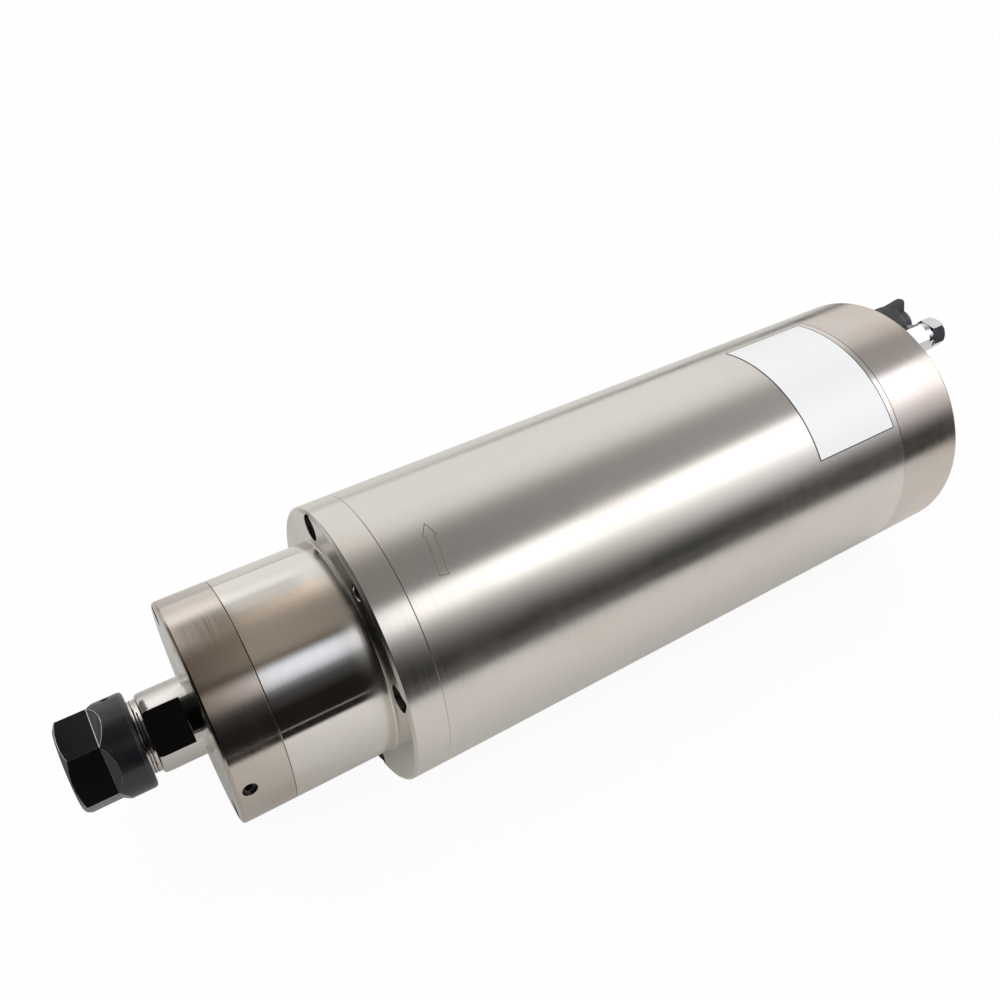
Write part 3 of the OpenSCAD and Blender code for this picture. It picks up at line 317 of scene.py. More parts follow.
# Other finishes: colour, colour of the dust and its amount, lowest and highest roughness, grain, relief
black_oxide = plain("black oxide", (0.005, 0.0065, 0.008), (0.05, 0.05, 0.055), 0.05, (0.2, 0.3),
                    1200.0, 0.04, Specular_IOR_Level=0.75)
black_facet = plain("black oxide facets", (0.003, 0.0034, 0.004), (0.05, 0.05, 0.055), 0.05, (0.16, 0.26),
                    1200.0, 0.04, Specular_IOR_Level=0.2)
# A light finish for the nut's bevels: partly wear, partly painted highlight where the top edges catch the
# light.
wear_and_highlight_edge = plain("wear and painted highlight edge", (0.55, 0.56, 0.58), (0.3, 0.3, 0.3), 0.3, (0.3, 0.4))
# Painted shade: a dark brown finish for the chamfer faces in the groove between the nose ring and the
# housing.
painted_groove_shade = plain("painted groove shade", (0.05, 0.035, 0.025), (0.1, 0.08, 0.06), 0.2, (0.5, 0.6))
dark_screw = plain("blackened screw", (0.03, 0.03, 0.032), (0.12, 0.12, 0.12), 0.2, (0.25, 0.4),
                   Metallic=0.7)
rubber = plain("dull rubber", (0.035, 0.038, 0.042), (0.10, 0.10, 0.10), 0.3, (0.5, 0.7), 700.0, 0.25)
anodised = plain("black anodised", (0.02, 0.02, 0.022), (0.1, 0.1, 0.1), 0.15, (0.3, 0.45), Metallic=0.4)
sticker = plain("sticker face", (0.86, 0.865, 0.87), (0.80, 0.80, 0.80), 0.03, (0.28, 0.32), 300.0, 0.004)
sticker_rim = plain("sticker rim", (0.05, 0.05, 0.05), (0.2, 0.2, 0.2), 0.2, (0.3, 0.4))
etching = plain("etched line", (0.16, 0.13, 0.11), (0.3, 0.27, 0.24), 0.3, (0.5, 0.6))
plastic = plain("connector plastic", (0.04, 0.04, 0.04), (0.15, 0.15, 0.15), 0.2, (0.4, 0.55))
resin = plain("cage resin", (0.50, 0.37, 0.20), (0.35, 0.25, 0.12), 0.4, (0.4, 0.55))
insulation = plain("lead insulation", (0.5, 0.06, 0.04), (0.4, 0.2, 0.2), 0.2, (0.4, 0.5))


# Meshes


def link(name, mesh, materials):
    piece = bpy.data.objects.new(name, mesh)
    bpy.context.scene.collection.objects.link(piece)
    for finish in materials:
        mesh.materials.append(finish)
    return piece


def smooth(mesh, angle=SMOOTH_ANGLE):
    """Smooth shading with the edges over the angle kept sharp."""
    mesh.shade_smooth()
    mesh.set_sharp_from_angle(angle=math.radians(angle))


def mesh_from(bm, name):
    """The mesh of a bmesh, which is freed."""
    mesh = bpy.data.meshes.new(name)
    bm.to_mesh(mesh)
    bm.free()
    return mesh


def applied(piece):
    """The mesh that a helper object's modifiers make. The helper is deleted."""
    shown = piece.evaluated_get(bpy.context.evaluated_depsgraph_get())
    mesh = bpy.data.meshes.new_from_object(shown)
    bpy.data.objects.remove(piece)
    return mesh


def joined(source, name):
    """A copy of a mesh with its facets joined."""
    bm = bmesh.new()
    bm.from_mesh(source)
    bmesh.ops.remove_doubles(bm, verts=bm.verts, dist=0.002 * MM)
    bmesh.ops.dissolve_limit(bm, angle_limit=math.radians(0.5), verts=bm.verts, edges=bm.edges)
    return mesh_from(bm, name)


def from_axis(point):
    return math.hypot(point.y, point.z)


def between(value, was, now):
    """A value moved from one list of stations to another, in a straight line between them."""
    for a, b, c, d in zip(was, was[1:], now, now[1:]):
        if value <= b:
            return c + (d - c) * (value - a) / (b - a)
    return value


def flat_cutter(side):
    """A block that reaches down to one of the land's flats."""
    across = FLAT_WAY.cross(Vector((1, 0, 0)))
    bm = bmesh.new()
    bmesh.ops.create_cube(bm, size=1)
    for v in bm.verts:
        x = FLAT_X[0] if v.co.x < 0 else FLAT_X[1]
        out = FLAT_DEPTH + (CUTTER_DEPTH if v.co.z > 0 else 0)
        v.co = Vector((x, 0, 0)) + FLAT_WAY * side * out + across * v.co.y * CUTTER_WIDTH
    bmesh.ops.recalc_face_normals(bm, faces=bm.faces)
    return link("flat_cutter", mesh_from(bm, "flat_cutter"), [])


def recut_land(mesh):
    """The shaft's land brought a little forward with a crisper corner, and its flats cut to their width."""
    old_x, old_r = zip(*CORNER_WAS)
    new_x, new_r = zip(*CORNER_IS)
    for v in mesh.vertices:
        station = (v.co.x - LAND_X0) / MM
        if -CORNER_SLACK < station < old_x[-1]:
            radius = from_axis(v.co) / MM
            v.co.x = LAND_X0 + between(station, old_x, new_x) * MM
            if radius > old_r[0] - 2 * CORNER_SLACK:
                grow = between(station, old_x, new_r) / between(station, old_x, old_r)
                v.co.y *= grow
                v.co.z *= grow
    blank = link("land_blank", mesh, [])
    cutters = [flat_cutter(1), flat_cutter(-1)]
    for cutter in cutters:
        cut = blank.modifiers.new("flat", "BOOLEAN")
        cut.operation = "DIFFERENCE"
        cut.solver = "EXACT"
        cut.object = cutter
    made = applied(blank)
    for cutter in cutters:
        bpy.data.objects.remove(cutter)
    return joined(made, "land")


HOSE_NUT_TURN = math.radians(32)


def turned_nut(mesh):
    """A hose nut turned on its own axis to where the photograph has its facets."""
    low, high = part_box("hose_nut_a")
    centre = Vector((0, (low.y + high.y) / 2, (low.z + high.z) / 2))
    turn = Matrix.Rotation(HOSE_NUT_TURN, 4, "X")
    mesh.transform(Matrix.Translation(centre) @ turn @ Matrix.Translation(-centre))
    return mesh


def moulded(mesh):
    """A rubber cap as it leaves its mould, with no sharp edge."""
    piece = link("moulded_blank", mesh, [])
    even = piece.modifiers.new("even cells", "REMESH")
    even.mode = "VOXEL"
    even.voxel_size = 0.4 * MM
    soft = piece.modifiers.new("soft edges", "SMOOTH")
    soft.factor = 0.5
    soft.iterations = 10
    return applied(piece)


RESHAPED = {"spindle_shaft": recut_land, "hose_nut_a": turned_nut, "dust_cap": moulded}

# Shares of the full width by which an edge is broken. The tube's two joints are so tight that they show as a
# hairline.
# The nut's top side is broken wider along its step and its arcs, with a light finish that is partly wear and
# partly painted highlight.
TIGHT_JOINTS = (TUBE_X0, TUBE_X1)
JOINT_REACH = 0.2 * MM
JOINT_SHARE = 0.06
NUT_SHARE = 0.02
WEAR_AND_HIGHLIGHT_STEP_SHARE = 0.45
WEAR_AND_HIGHLIGHT_ARC_SHARE = 0.22
WEAR_AND_HIGHLIGHT_SPREAD = 0.57
COLLAR_LENGTH = 5 * MM
LEVEL_REACH = 0.05 * MM
AXIAL = 0.99


def edge_share(node, edge):
    """The share of the full width by which an edge is broken."""
    a, b = (v.co for v in edge.verts)
    middle = (a + b) / 2
    near = min(abs(middle.x - x) for x in TIGHT_JOINTS) < JOINT_REACH
    if near and from_axis(middle) > BODY_R - MM:
        return JOINT_SHARE
    if node != "collet_nut":
        return 1.0
    # Only the top side's edges get the wide light bevels: partly wear, partly painted highlight.
    wear_and_highlight_side = abs(middle.y) < WEAR_AND_HIGHLIGHT_SPREAD * middle.z and middle.x < NUT_BACK - COLLAR_LENGTH
    front_ring = max(a.x, b.x) < NUT_FRONT + LEVEL_REACH
    if not wear_and_highlight_side or front_ring or abs((a - b).normalized().x) > AXIAL:
        return NUT_SHARE
    return WEAR_AND_HIGHLIGHT_STEP_SHARE if abs(a.x - b.x) < LEVEL_REACH else WEAR_AND_HIGHLIGHT_ARC_SHARE


def dressed(node, name, materials, edge, edge_slot=-1, angle=25):
    """The solid's own shape, with its arcs shaded smooth and its edges broken by so many mm."""
    mesh = joined(nodes[node].data, node)
    if node in RESHAPED:
        mesh = RESHAPED[node](mesh)
    bm = bmesh.new()
    bm.from_mesh(mesh)
    weights = bm.edges.layers.float.new("bevel_weight_edge")
    for line in bm.edges:
        if line.calc_face_angle(0) > math.radians(angle):
            line[weights] = edge_share(node, line)
    bm.to_mesh(mesh)
    bm.free()
    mesh.name = name
    for face in mesh.polygons:
        face.material_index = 0
    smooth(mesh, angle)
    piece = link(name, mesh, materials)
    if edge:
        broken = piece.modifiers.new("broken edges", "BEVEL")
        broken.width = edge * MM
        broken.segments = 2
        broken.limit_method = "WEIGHT"
        broken.material = edge_slot
        broken.use_clamp_overlap = edge_slot < 0
    if node != "dust_cap":
        even = piece.modifiers.new("even shading", "WEIGHTED_NORMAL")
        even.mode = "FACE_AREA"
        even.keep_sharp = True
    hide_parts(node)
    return piece


def wrapped_grid(name, xs, angles, low, high, materials):
    """A thin closed plate on the body: one cell for each step in x and in angle. Rim cells take the second
    material."""
    bm = bmesh.new()
    top, under = ([[bm.verts.new((x, r * math.cos(a), r * math.sin(a))) for a in angles] for x in xs]
                  for r in (high, low))
    last_x, last_a = len(xs) - 1, len(angles) - 1
    for i in range(last_x):
        for k in range(last_a):
            at_rim = i in (0, last_x - 1) or k in (0, last_a - 1)
            for sheet, flip in ((top, False), (under, True)):
                corners = [sheet[i][k], sheet[i][k + 1], sheet[i + 1][k + 1], sheet[i + 1][k]]
                face = bm.faces.new(corners[::-1] if flip else corners)
                face.material_index = 1 if at_rim else 0
    border = [(i, 0) for i in range(last_x)] + [(last_x, k) for k in range(last_a)]
    border += [(i, last_a) for i in range(last_x, 0, -1)] + [(0, k) for k in range(last_a, 0, -1)]
    for (i, k), (m, n) in zip(border, border[1:] + border[:1]):
        face = bm.faces.new([top[i][k], top[m][n], under[m][n], under[i][k]])
        face.material_index = 1
    bmesh.ops.recalc_face_normals(bm, faces=bm.faces)
    mesh = mesh_from(bm, name)
    smooth(mesh)
    return link(name, mesh, materials)


def steps(start, end, count):
    return [start + (end - start) * i / count for i in range(count + 1)]


def on_housing(piece):
    """A thin mark on the polished housing."""
    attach(piece, "housing")


# The sticker near the rear, left blank, with its thin dark rim
STICKER_X = (184.7 * MM, 225.3 * MM)
STICKER_ANGLES = (math.radians(70.9), math.radians(141.0))
STICKER_CELLS = (6, 48)
STICKER_RIM = 0.45 * MM
STICKER_LIFT = 0.09 * MM
STICKER_SINK = 0.02 * MM


def make_sticker():
    x0, x1 = STICKER_X
    a0, a1 = STICKER_ANGLES
    rim_angle = STICKER_RIM / BODY_R
    xs = [x0] + steps(x0 + STICKER_RIM, x1 - STICKER_RIM, STICKER_CELLS[0]) + [x1]
    angles = [a0] + steps(a0 + rim_angle, a1 - rim_angle, STICKER_CELLS[1]) + [a1]
    on_housing(wrapped_grid("blank_sticker", xs, angles, BODY_R - STICKER_SINK, BODY_R + STICKER_LIFT,
                            [sticker, sticker_rim]))


# The turning-direction arrow, an etched outline behind the flange. Its ends are (station in mm, angle in
# degrees), and its other sizes are in mm.
ARROW_TIP = (30.2, 99.5)
ARROW_TAIL = (27.3, 120.7)
ARROW_HALF_SHAFT = 1.5
ARROW_HALF_HEAD = 2.5
ARROW_HEAD = 5.2
ARROW_LINE = 0.30
ARROW_BARB = 0.9
ARROW_LIFT = 0.03
ARROW_SINK = 0.05
ARROW_STEPS = 10


def make_arrow():
    """The outline is laid out flat in mm along and across the arrow, and then wrapped on the body."""
    radius = BODY_R / MM
    tip = Vector((ARROW_TIP[0], math.radians(ARROW_TIP[1]) * radius))
    tail = Vector((ARROW_TAIL[0], math.radians(ARROW_TAIL[1]) * radius))
    along = (tail - tip).normalized()
    across = Vector((along.y, -along.x))
    length = (tail - tip).length

    def outline(grow):
        head_slope = math.hypot(ARROW_HEAD, ARROW_HALF_HEAD)
        nose = -grow * head_slope / ARROW_HALF_HEAD
        wide = ARROW_HALF_HEAD + grow * (ARROW_HEAD + head_slope) / ARROW_HEAD * ARROW_BARB
        points = [(nose, 0), (ARROW_HEAD + grow, wide), (ARROW_HEAD + grow, ARROW_HALF_SHAFT + grow),
                  (length + grow, ARROW_HALF_SHAFT + grow)]
        points += [(a, -b) for a, b in reversed(points[1:])]
        return [tip + along * a + across * b for a, b in points]

    outer, inner = outline(ARROW_LINE / 2), outline(-ARROW_LINE / 2)
    rows = []
    for i in range(len(outer)):
        k = (i + 1) % len(outer)
        for s in steps(0, 1, ARROW_STEPS)[:-1]:
            rows.append((outer[i].lerp(outer[k], s), inner[i].lerp(inner[k], s)))
    high, low = radius + ARROW_LIFT, radius - ARROW_SINK
    bm = bmesh.new()
    rings = []
    for o, n in rows:
        ring = []
        for (x, arc), r in ((o, high), (n, high), (n, low), (o, low)):
            a = arc / radius
            ring.append(bm.verts.new(Vector((x, r * math.cos(a), r * math.sin(a))) * MM))
        rings.append(ring)
    for a, b in zip(rings, rings[1:] + rings[:1]):
        for i in range(4):
            bm.faces.new([a[i], b[i], b[(i + 1) % 4], a[(i + 1) % 4]])
    bmesh.ops.recalc_face_normals(bm, faces=bm.faces)
    on_housing(link("arrow_mark", mesh_from(bm, "arrow_mark"), [etching]))


# Thread turns on the shaft between the nut and the land
THREAD_ROOT = 12.45 * MM
THREAD_PITCH = 0.9 * MM
THREAD_DEPTH = 0.34 * MM
THREAD_TURNS = 2.2
THREAD_START = NUT_BACK + 2.0 * MM
THREAD_STEPS = 96
THREAD_SIDES = 6


def thread_tree():
    """A spiral swept with a pointed section, laid along the axis."""
    tree = bpy.data.node_groups.new("thread turns", "GeometryNodeTree")
    sockets = tree.interface
    sockets.new_socket(name="Geometry", in_out="INPUT", socket_type="NodeSocketGeometry")
    for label, value in (("Root Radius", THREAD_ROOT), ("Pitch", THREAD_PITCH), ("Depth", THREAD_DEPTH),
                         ("Turns", THREAD_TURNS), ("Start", THREAD_START)):
        socket = sockets.new_socket(name=label, in_out="INPUT", socket_type="NodeSocketFloat")
        socket.default_value = value
    sockets.new_socket(name="Finish", in_out="INPUT", socket_type="NodeSocketMaterial")
    sockets.new_socket(name="Geometry", in_out="OUTPUT", socket_type="NodeSocketGeometry")
    made, join = tree.nodes, tree.links.new
    given = made.new("NodeGroupInput")
    spiral = made.new("GeometryNodeCurveSpiral")
    spiral.inputs["Resolution"].default_value = THREAD_STEPS
    join(given.outputs["Turns"], spiral.inputs["Rotations"])
    join(given.outputs["Root Radius"], spiral.inputs["Start Radius"])
    join(given.outputs["Root Radius"], spiral.inputs["End Radius"])
    height = made.new("ShaderNodeMath")
    height.operation = "MULTIPLY"
    join(given.outputs["Pitch"], height.inputs[0])
    join(given.outputs["Turns"], height.inputs[1])
    join(height.outputs[0], spiral.inputs["Height"])
    section = made.new("GeometryNodeCurvePrimitiveCircle")
    section.inputs["Resolution"].default_value = THREAD_SIDES
    join(given.outputs["Depth"], section.inputs["Radius"])
    sweep = made.new("GeometryNodeCurveToMesh")
    sweep.inputs["Fill Caps"].default_value = True
    join(spiral.outputs[0], sweep.inputs["Curve"])
    join(section.outputs[0], sweep.inputs["Profile Curve"])
    lay = made.new("GeometryNodeTransform")
    lay.inputs["Rotation"].default_value = (0, math.radians(-90), 0)
    shift = made.new("ShaderNodeCombineXYZ")
    join(given.outputs["Start"], shift.inputs[0])
    join(shift.outputs[0], lay.inputs["Translation"])
    join(sweep.outputs[0], lay.inputs["Geometry"])
    real = made.new("GeometryNodeRealizeInstances")
    join(lay.outputs[0], real.inputs[0])
    finish = made.new("GeometryNodeSetMaterial")
    join(real.outputs[0], finish.inputs["Geometry"])
    join(given.outputs["Finish"], finish.inputs["Material"])
    join(finish.outputs[0], made.new("NodeGroupOutput").inputs[0])
    return tree


def made_by(tree, name, values):
    """The plain mesh that a geometry tree makes from its named sizes."""
    base = link(name + "_base", bpy.data.meshes.new(name + "_base"), [])
    modifier = base.modifiers.new("made", "NODES")
    modifier.node_group = tree
    for item in tree.interface.items_tree:
        if item.item_type == "SOCKET" and item.in_out == "INPUT" and item.name in values:
            modifier[item.identifier] = values[item.name]
    mesh = applied(base)
    mesh.name = name
    return link(name, mesh, [])


def make_thread():
    piece = made_by(thread_tree(), "shaft_thread", {"Start": THREAD_START, "Finish": ground})
    smooth(piece.data)
    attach(piece, "spindle")


# Visible solids: each keeps its shape and gets its finish, and edges broken by so many mm
VISIBLE = [
    ("outer_tube", "body_tube", [polished], 0.12),
    ("front_housing", "flanged_nose", [mirror_turned, polished], 0.20),
    ("front_cover", "nose_ring", [warm_ring, painted_groove_shade], 0.12),
    ("rear_cap", "rear_end", [warm_cap], 0.20),
    ("spindle_shaft", "flatted_shaft", [ground, flat_steel], 0),
    ("dust_cap", "rubber_cap", [rubber], 0),
    ("connector_shell", "connector_barrel", [anodised], 0.10),
    ("fitting_body_a", "hose_fitting_a", [bright_plate], 0.15),
    ("fitting_body_b", "hose_fitting_b", [bright_plate], 0.15),
    ("hose_nut_a", "hose_cap_nut_a", [bright_plate], 0.15),
    ("hose_nut_b", "hose_cap_nut_b", [bright_plate], 0.15),
    ("cover_screws", "nose_screws", [dark_screw], 0.10),
    ("flange_screws", "flange_bolts", [dark_screw], 0.10),
    ("rear_cap_screws", "rear_bolts", [dark_screw], 0.10),
    ("grease_screw", "side_screw", [dark_screw], 0.05),
    ("collet", "slotted_collet", [spring_steel], 0.08),
]
INNER = {
    "seal_rubber": rubber, "bearing_steel": inner_steel, "cage_resin": resin, "turned_steel": inner_steel,
    "laminations": laminations, "cast_aluminium": aluminium, "copper": copper, "spring_steel": spring_steel,
    "lead_insulation": insulation, "connector_plastic": plastic, "brass": brass, "black_anodised": anodised,
    "chrome": bright_plate, "dark_screws": dark_screw, "polished_steel": polished, "warm_steel": warm_cap,
    "ground_steel": ground, "black_oxide": black_oxide, "cap_rubber": rubber,
}
NUT_EDGE = 0.28
NUT_ANGLE = 20
NUT_FACET_AREA = 50 * SQUARE_MM


def on_flange_rim(face):
    """Round the flange, which is polished as the tube is."""
    return from_axis(face.center) > NOSE_R + 10 * MM and face.center.x > 0.2 * MM


def on_flat(face):
    """On one of the shaft's wrench flats."""
    level = abs(face.normal.x) < 0.01 and abs(face.normal.dot(FLAT_WAY)) > 0.9999
    return level and face.center.x < SHAFT_END and face.area > FLAT_LEAST_AREA


def at_ring_joint(face):
    """In the groove where the nose ring meets the housing. These faces take a dark finish that is painted
    shade in the groove.
    """
    return face.normal.x > 0.3 and from_axis(face.center) > NOSE_R - 0.5 * MM


def on_nut_facet(face):
    """On one of the nut's six large facets."""
    return abs(face.normal.x) < 0.01 and face.area > NUT_FACET_AREA


SECOND_FINISH = {"front_housing": on_flange_rim, "spindle_shaft": on_flat, "front_cover": at_ring_joint}


def refinish(piece, chosen, slot):
    """The faces of a piece that take another of its finishes."""
    for face in piece.data.polygons:
        if chosen(face):
            face.material_index = slot
            if chosen is on_flat:
                face.use_smooth = False


def dress_solids():
    slots = {s["node"]: s["material_slot"] for s in frame["record"]["subparts"]}
    body_of = {n: body for body, members in frame["record"]["behaviour"]["bodies"].items() for n in members}
    for node, name, finishes, edge in VISIBLE:
        piece = dressed(node, name, finishes, edge)
        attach(piece, body_of[node])
        if node in SECOND_FINISH:
            refinish(piece, SECOND_FINISH[node], 1)
    # The nut's bevels take the light finish of wear and painted highlight.
    finishes = [black_oxide, wear_and_highlight_edge, black_facet]
    nut = dressed("collet_nut", "hexagon_nut", finishes, NUT_EDGE, finishes.index(wear_and_highlight_edge), NUT_ANGLE)
    refinish(nut, on_nut_facet, finishes.index(black_facet))
    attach(nut, "chuck_nut")
    replaced = {row[0] for row in VISIBLE} | {"collet_nut"}
    for name, solid in nodes.items():
        if name not in replaced:
            for place in solid.material_slots:
                place.material = INNER[slots[name]]


# Floor, sky and lamps

FLOOR_HALF = 6.0
FLOOR_GAP = 0.05 * MM
FLOOR_IN_METAL = (0.86, 0.85, 0.83, 1)
FLOOR_UNLIT = (0.015, 0.015, 0.015, 1)
FLOOR_GLOW = 0.92
# How far the lit floor reaches to the camera's side of the axis, and how much farther it ends at the rear
FLOOR_REACH = 0.455
FLOOR_REAR_REACH = 0.33
# How unlit it is at stations along the axis: it is dimmer round the front end, and it ends behind the rear
FLOOR_DIM = [(-0.20, 0.45), (-0.12, 0.40), (-0.07, 0.33), (-0.02, 0.17), (0.02, 0.07), (0.10, 0.05),
             (0.35, 0.05), (0.60, 0.15), (0.85, 1.0), (0.90, 1.0)]


def make_floor():
    """A white floor. The camera sees it nearly white with a faint shadow, and metal sees it lit and dim."""
    mesh = bpy.data.meshes.new("floor")
    z = FLOOR_Z - FLOOR_GAP
    corners = [(x * FLOOR_HALF, y * FLOOR_HALF, z) for x, y in ((-1, -1), (1, -1), (1, 1), (-1, 1))]
    mesh.from_pydata(corners, [], [(0, 1, 2, 3)])
    paper = bpy.data.materials.new("white paper")
    paper.use_nodes = True
    t = Tree(paper.node_tree)
    lit = t.add("ShaderNodeBsdfDiffuse")
    glow = t.add("ShaderNodeEmission")
    glow.inputs["Color"].default_value = WHITE
    dark = t.add("ShaderNodeEmission")
    dark.inputs["Color"].default_value = FLOOR_UNLIT
    rays = t.add("ShaderNodeLightPath").outputs
    t.feed(t.mix(rays["Is Camera Ray"], FLOOR_IN_METAL, WHITE), lit.inputs["Color"])
    place = t.add("ShaderNodeSeparateXYZ")
    t.links.new(t.add("ShaderNodeTexCoord").outputs["Object"], place.inputs[0])
    x, y = place.outputs[0], place.outputs[1]
    slant = t.ease(x, 0.28, 1.1, 0, FLOOR_REAR_REACH, "LINEAR")
    beyond = t.plus(t.math("MULTIPLY_ADD", y, -1.0, -FLOOR_REACH), slant)
    unlit = t.math("MAXIMUM", t.ease(beyond, -0.1, 0.1), t.ramp(x, FLOOR_DIM))
    seen = t.add("ShaderNodeMixShader")
    t.feed(t.times(rays["Is Camera Ray"], FLOOR_GLOW), seen.inputs[0])
    t.links.new(lit.outputs[0], seen.inputs[1])
    t.links.new(glow.outputs[0], seen.inputs[2])
    edge = t.add("ShaderNodeMixShader")
    t.feed(t.times(unlit, rays["Is Glossy Ray"]), edge.inputs[0])
    t.links.new(seen.outputs[0], edge.inputs[1])
    t.links.new(dark.outputs[0], edge.inputs[2])
    t.links.new(edge.outputs[0], t.add("ShaderNodeOutputMaterial").inputs["Surface"])
    link("floor", mesh, [paper])


# The studio that metal reflects. A direction is given by its angle round the spindle's axis, in degrees from
# +Y over the top, and by its slope along the axis. The far wall is bright below and dim above.
FAR_WALL = [(-180, 0.5), (0, 0.88), (30, 0.88), (42, 0.91), (52, 0.92), (60, 0.87), (66, 0.645), (72, 0.42),
            (79, 0.29), (86, 0.25), (104, 0.235), (110, 0.19), (116, 0.05), (121, 0.015), (180, 0.01)]
FAR_WALL_BY_SLOPE = [(0.05, 0.62), (0.09, 0.64), (0.115, 1.22), (0.15, 1.2), (0.21, 1.0), (0.25, 1.0)]
# What the nose and its ring see of that wall, as shares of its level by angle
NOSE_SHARES = [(20, 1.0), (30, 1.1), (34, 1.03), (40, 0.72), (48, 0.63), (56, 0.68), (62, 0.88), (68, 1.0)]
RING_SHARES = [(14, 1.0), (22, 1.18), (32, 1.3), (37, 1.0), (41, 0.6), (46, 0.36), (52, 0.29), (60, 0.27),
               (68, 0.42), (74, 0.68), (84, 1.12), (94, 1.28), (106, 1.3), (114, 1.0)]
# The front end sees a brighter stretch of wall with a sharp upper edge
FRONT_WALL = [(0, 0.6), (10, 0.72), (20, 0.88), (32, 1.08), (42, 1.3), (60, 1.3), (66, 1.0), (71, 0.6),
              (76, 0.28), (82, 0.12), (92, 0.085), (110, 0.04), (125, 0.012), (176, 0.01)]
# A square lamp over the nose, by slope and by angle
SMALL_LAMP_BY_SLOPE = [(0.045, 0.0), (0.056, 0.40), (0.075, 0.47), (0.104, 0.48), (0.114, 1.0), (0.202, 1.0),
                       (0.210, 0.0)]
SMALL_LAMP = [(120, 1.0), (129, 1.0), (135, 0.72), (141, 0.2), (147, 0.06), (160, 0.0)]
# A long lamp over the body. Its lower edge fades, more slowly towards the rear.
LONG_LAMP_NEAR = [(100, 1.9), (130, 1.9), (134, 1.6), (138, 0.93), (142, 0.58), (147, 0.38), (153, 0.20),
                  (159, 0.08), (165, 0.03), (172, 0.0)]
LONG_LAMP_FAR = [(100, 1.9), (130, 1.9), (134, 1.6), (138, 1.25), (143, 0.95), (150, 0.78), (156, 0.50),
                 (162, 0.20), (168, 0.07), (176, 0.0)]
PALE = (1, 1, 0.99, 1)
BROWN = (1.14, 1, 0.85, 1)
WARM_LAMP = (1.16, 1.0, 0.87, 1)
COOL_LAMP = (0.97, 1.04, 1.17, 1)
REAR_LAMP = (0.99, 1.0, 1.07, 1)
DULL_SKY = (0.72, 0.72, 0.72, 1)


def far_wall(t, angle, slope):
    """Towards the front the wall's edge sinks, and its upper part turns brown."""
    sink = t.times(t.ease(slope, 0.05, 0.22, 18, 0, "LINEAR"), t.ease(angle, 55, 95, 1, 0))
    wall = t.ramp(t.plus(angle, sink), FAR_WALL)
    change = t.plus(t.ramp(slope, FAR_WALL_BY_SLOPE), -1.0)
    wall = t.times(wall, t.plus(1.0, t.times(t.ease(angle, 36, 50), change)))
    wall = t.times(wall, t.plus(t.ease(angle, 40, 55, 0.1, 0), 1.0))
    rear_glow = t.ease(slope, 0.25, 1.25, 0, 0.27, "LINEAR")
    wall = t.plus(wall, t.times(rear_glow, t.ease(angle, 60, 90), t.ease(angle, 108, 118, 1, 0)))
    wall = t.times(wall, t.mix(t.ease(slope, 0.172, 0.188), t.ramp(angle, NOSE_SHARES), WHITE))
    wall = t.times(wall, t.mix(t.ease(slope, 0.100, 0.112), t.ramp(angle, RING_SHARES), WHITE))
    brown = t.times(t.ease(angle, 45, 60), t.ease(slope, 0.2, 0.24, 1, 0))
    return t.tinted(wall, t.mix(brown, PALE, BROWN))


def front_wall(t, angle, slope):
    """The wall before the front end. It is dim where the nut's lower facets see it."""
    facet_dim = t.times(t.ease(angle, 15, 30), t.ease(slope, -0.052, -0.043, -0.88, 0))
    level = t.times(t.ramp(angle, FRONT_WALL), t.plus(1.0, facet_dim))
    return t.tinted(level, PALE[:3])


def small_lamp(t, angle, slope):
    """A cool lamp, which the nose ring sees weaker and warm."""
    upper_edge = t.ease(angle, 111.5, 123.5)
    level = t.times(t.ramp(slope, SMALL_LAMP_BY_SLOPE), upper_edge, t.ramp(angle, SMALL_LAMP))
    return t.tinted(level, t.mix(t.ease(slope, 0.104, 0.114), WARM_LAMP, COOL_LAMP))


def long_lamp(t, angle, slope):
    """The lamp over the body, with an upper edge that runs a little aslant and a tail that lengthens."""
    raised = t.plus(angle, t.times(slope, 14.0))
    lowered = t.less(angle, t.ease(slope, 0.75, 1.05, 0, 3, "LINEAR"))
    tail = t.mix(t.ease(slope, 0.3, 0.7), t.ramp(angle, LONG_LAMP_NEAR), t.ramp(lowered, LONG_LAMP_FAR))
    level = t.times(t.ease(slope, 0.226, 0.238), t.ease(raised, 115.5, 125), tail)
    return t.tinted(level, t.mix(t.ease(slope, 0.80, 0.90), WHITE, REAR_LAMP))


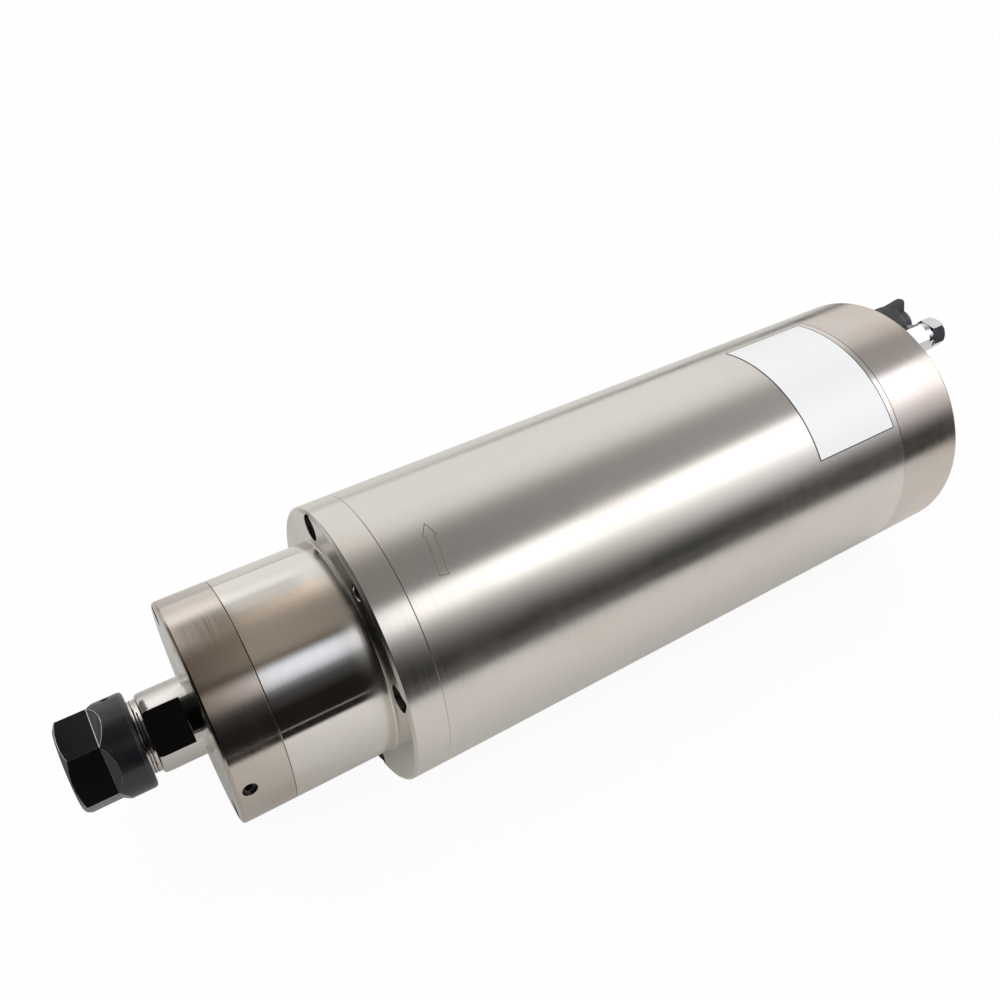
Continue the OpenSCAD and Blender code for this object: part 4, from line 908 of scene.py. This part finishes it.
def make_sky():
    """White to the camera, plain grey to dull surfaces, and a studio of bright walls, two lamps and a dark
    ceiling to metal."""
    world = bpy.data.worlds.new("studio")
    bpy.context.scene.world = world
    world.use_nodes = True
    world.cycles.sampling_method = "NONE"
    t = Tree(world.node_tree)
    way = t.add("ShaderNodeSeparateXYZ")
    t.links.new(t.add("ShaderNodeTexCoord").outputs["Generated"], way.inputs[0])
    x, y, z = way.outputs
    angle = t.math("DEGREES", t.math("ARCTAN2", z, y))
    from_spindle = t.math("SQRT", t.plus(t.times(y, y), t.times(z, z)))
    slope = t.math("DIVIDE", x, t.math("MAXIMUM", from_spindle, 0.001))
    walls = t.mix(t.ease(slope, 0.043, 0.051), front_wall(t, angle, slope), far_wall(t, angle, slope))
    seen = walls
    for lamp in (small_lamp, long_lamp):
        both = t.add("ShaderNodeVectorMath", operation="ADD")
        t.feed(seen, both.inputs[0])
        t.feed(lamp(t, angle, slope), both.inputs[1])
        seen = both.outputs[0]
    rays = t.add("ShaderNodeLightPath").outputs
    shown = t.mix(rays["Is Camera Ray"], t.mix(rays["Is Glossy Ray"], DULL_SKY, seen), WHITE)
    back = t.add("ShaderNodeBackground")
    t.links.new(shown, back.inputs["Color"])
    t.links.new(back.outputs[0], t.add("ShaderNodeOutputWorld").inputs["Surface"])


# Soft lamps as (name, place, watts), all of one size and turned to a point in the body
LAMPS = [("key lamp", (-0.5, -0.9, 1.3), 9.0), ("fill lamp", (0.9, 0.8, 1.2), 4.0)]
LAMP_SIZE = 1.2
LAMP_AIM = Vector((0.08, 0, 0))


def make_lamps():
    for name, place, watts in LAMPS:
        lamp = bpy.data.lights.new(name, "AREA")
        lamp.size = LAMP_SIZE
        lamp.energy = watts
        holder = bpy.data.objects.new(name, lamp)
        bpy.context.scene.collection.objects.link(holder)
        holder.location = place
        holder.rotation_mode = "QUATERNION"
        holder.rotation_quaternion = (Vector(place) - LAMP_AIM).to_track_quat("Z", "Y")
        holder.visible_glossy = False


place_camera()
dress_solids()
make_sticker()
make_arrow()
make_thread()
make_floor()
make_sky()
make_lamps()
bpy.context.scene.view_settings.view_transform = "Standard"
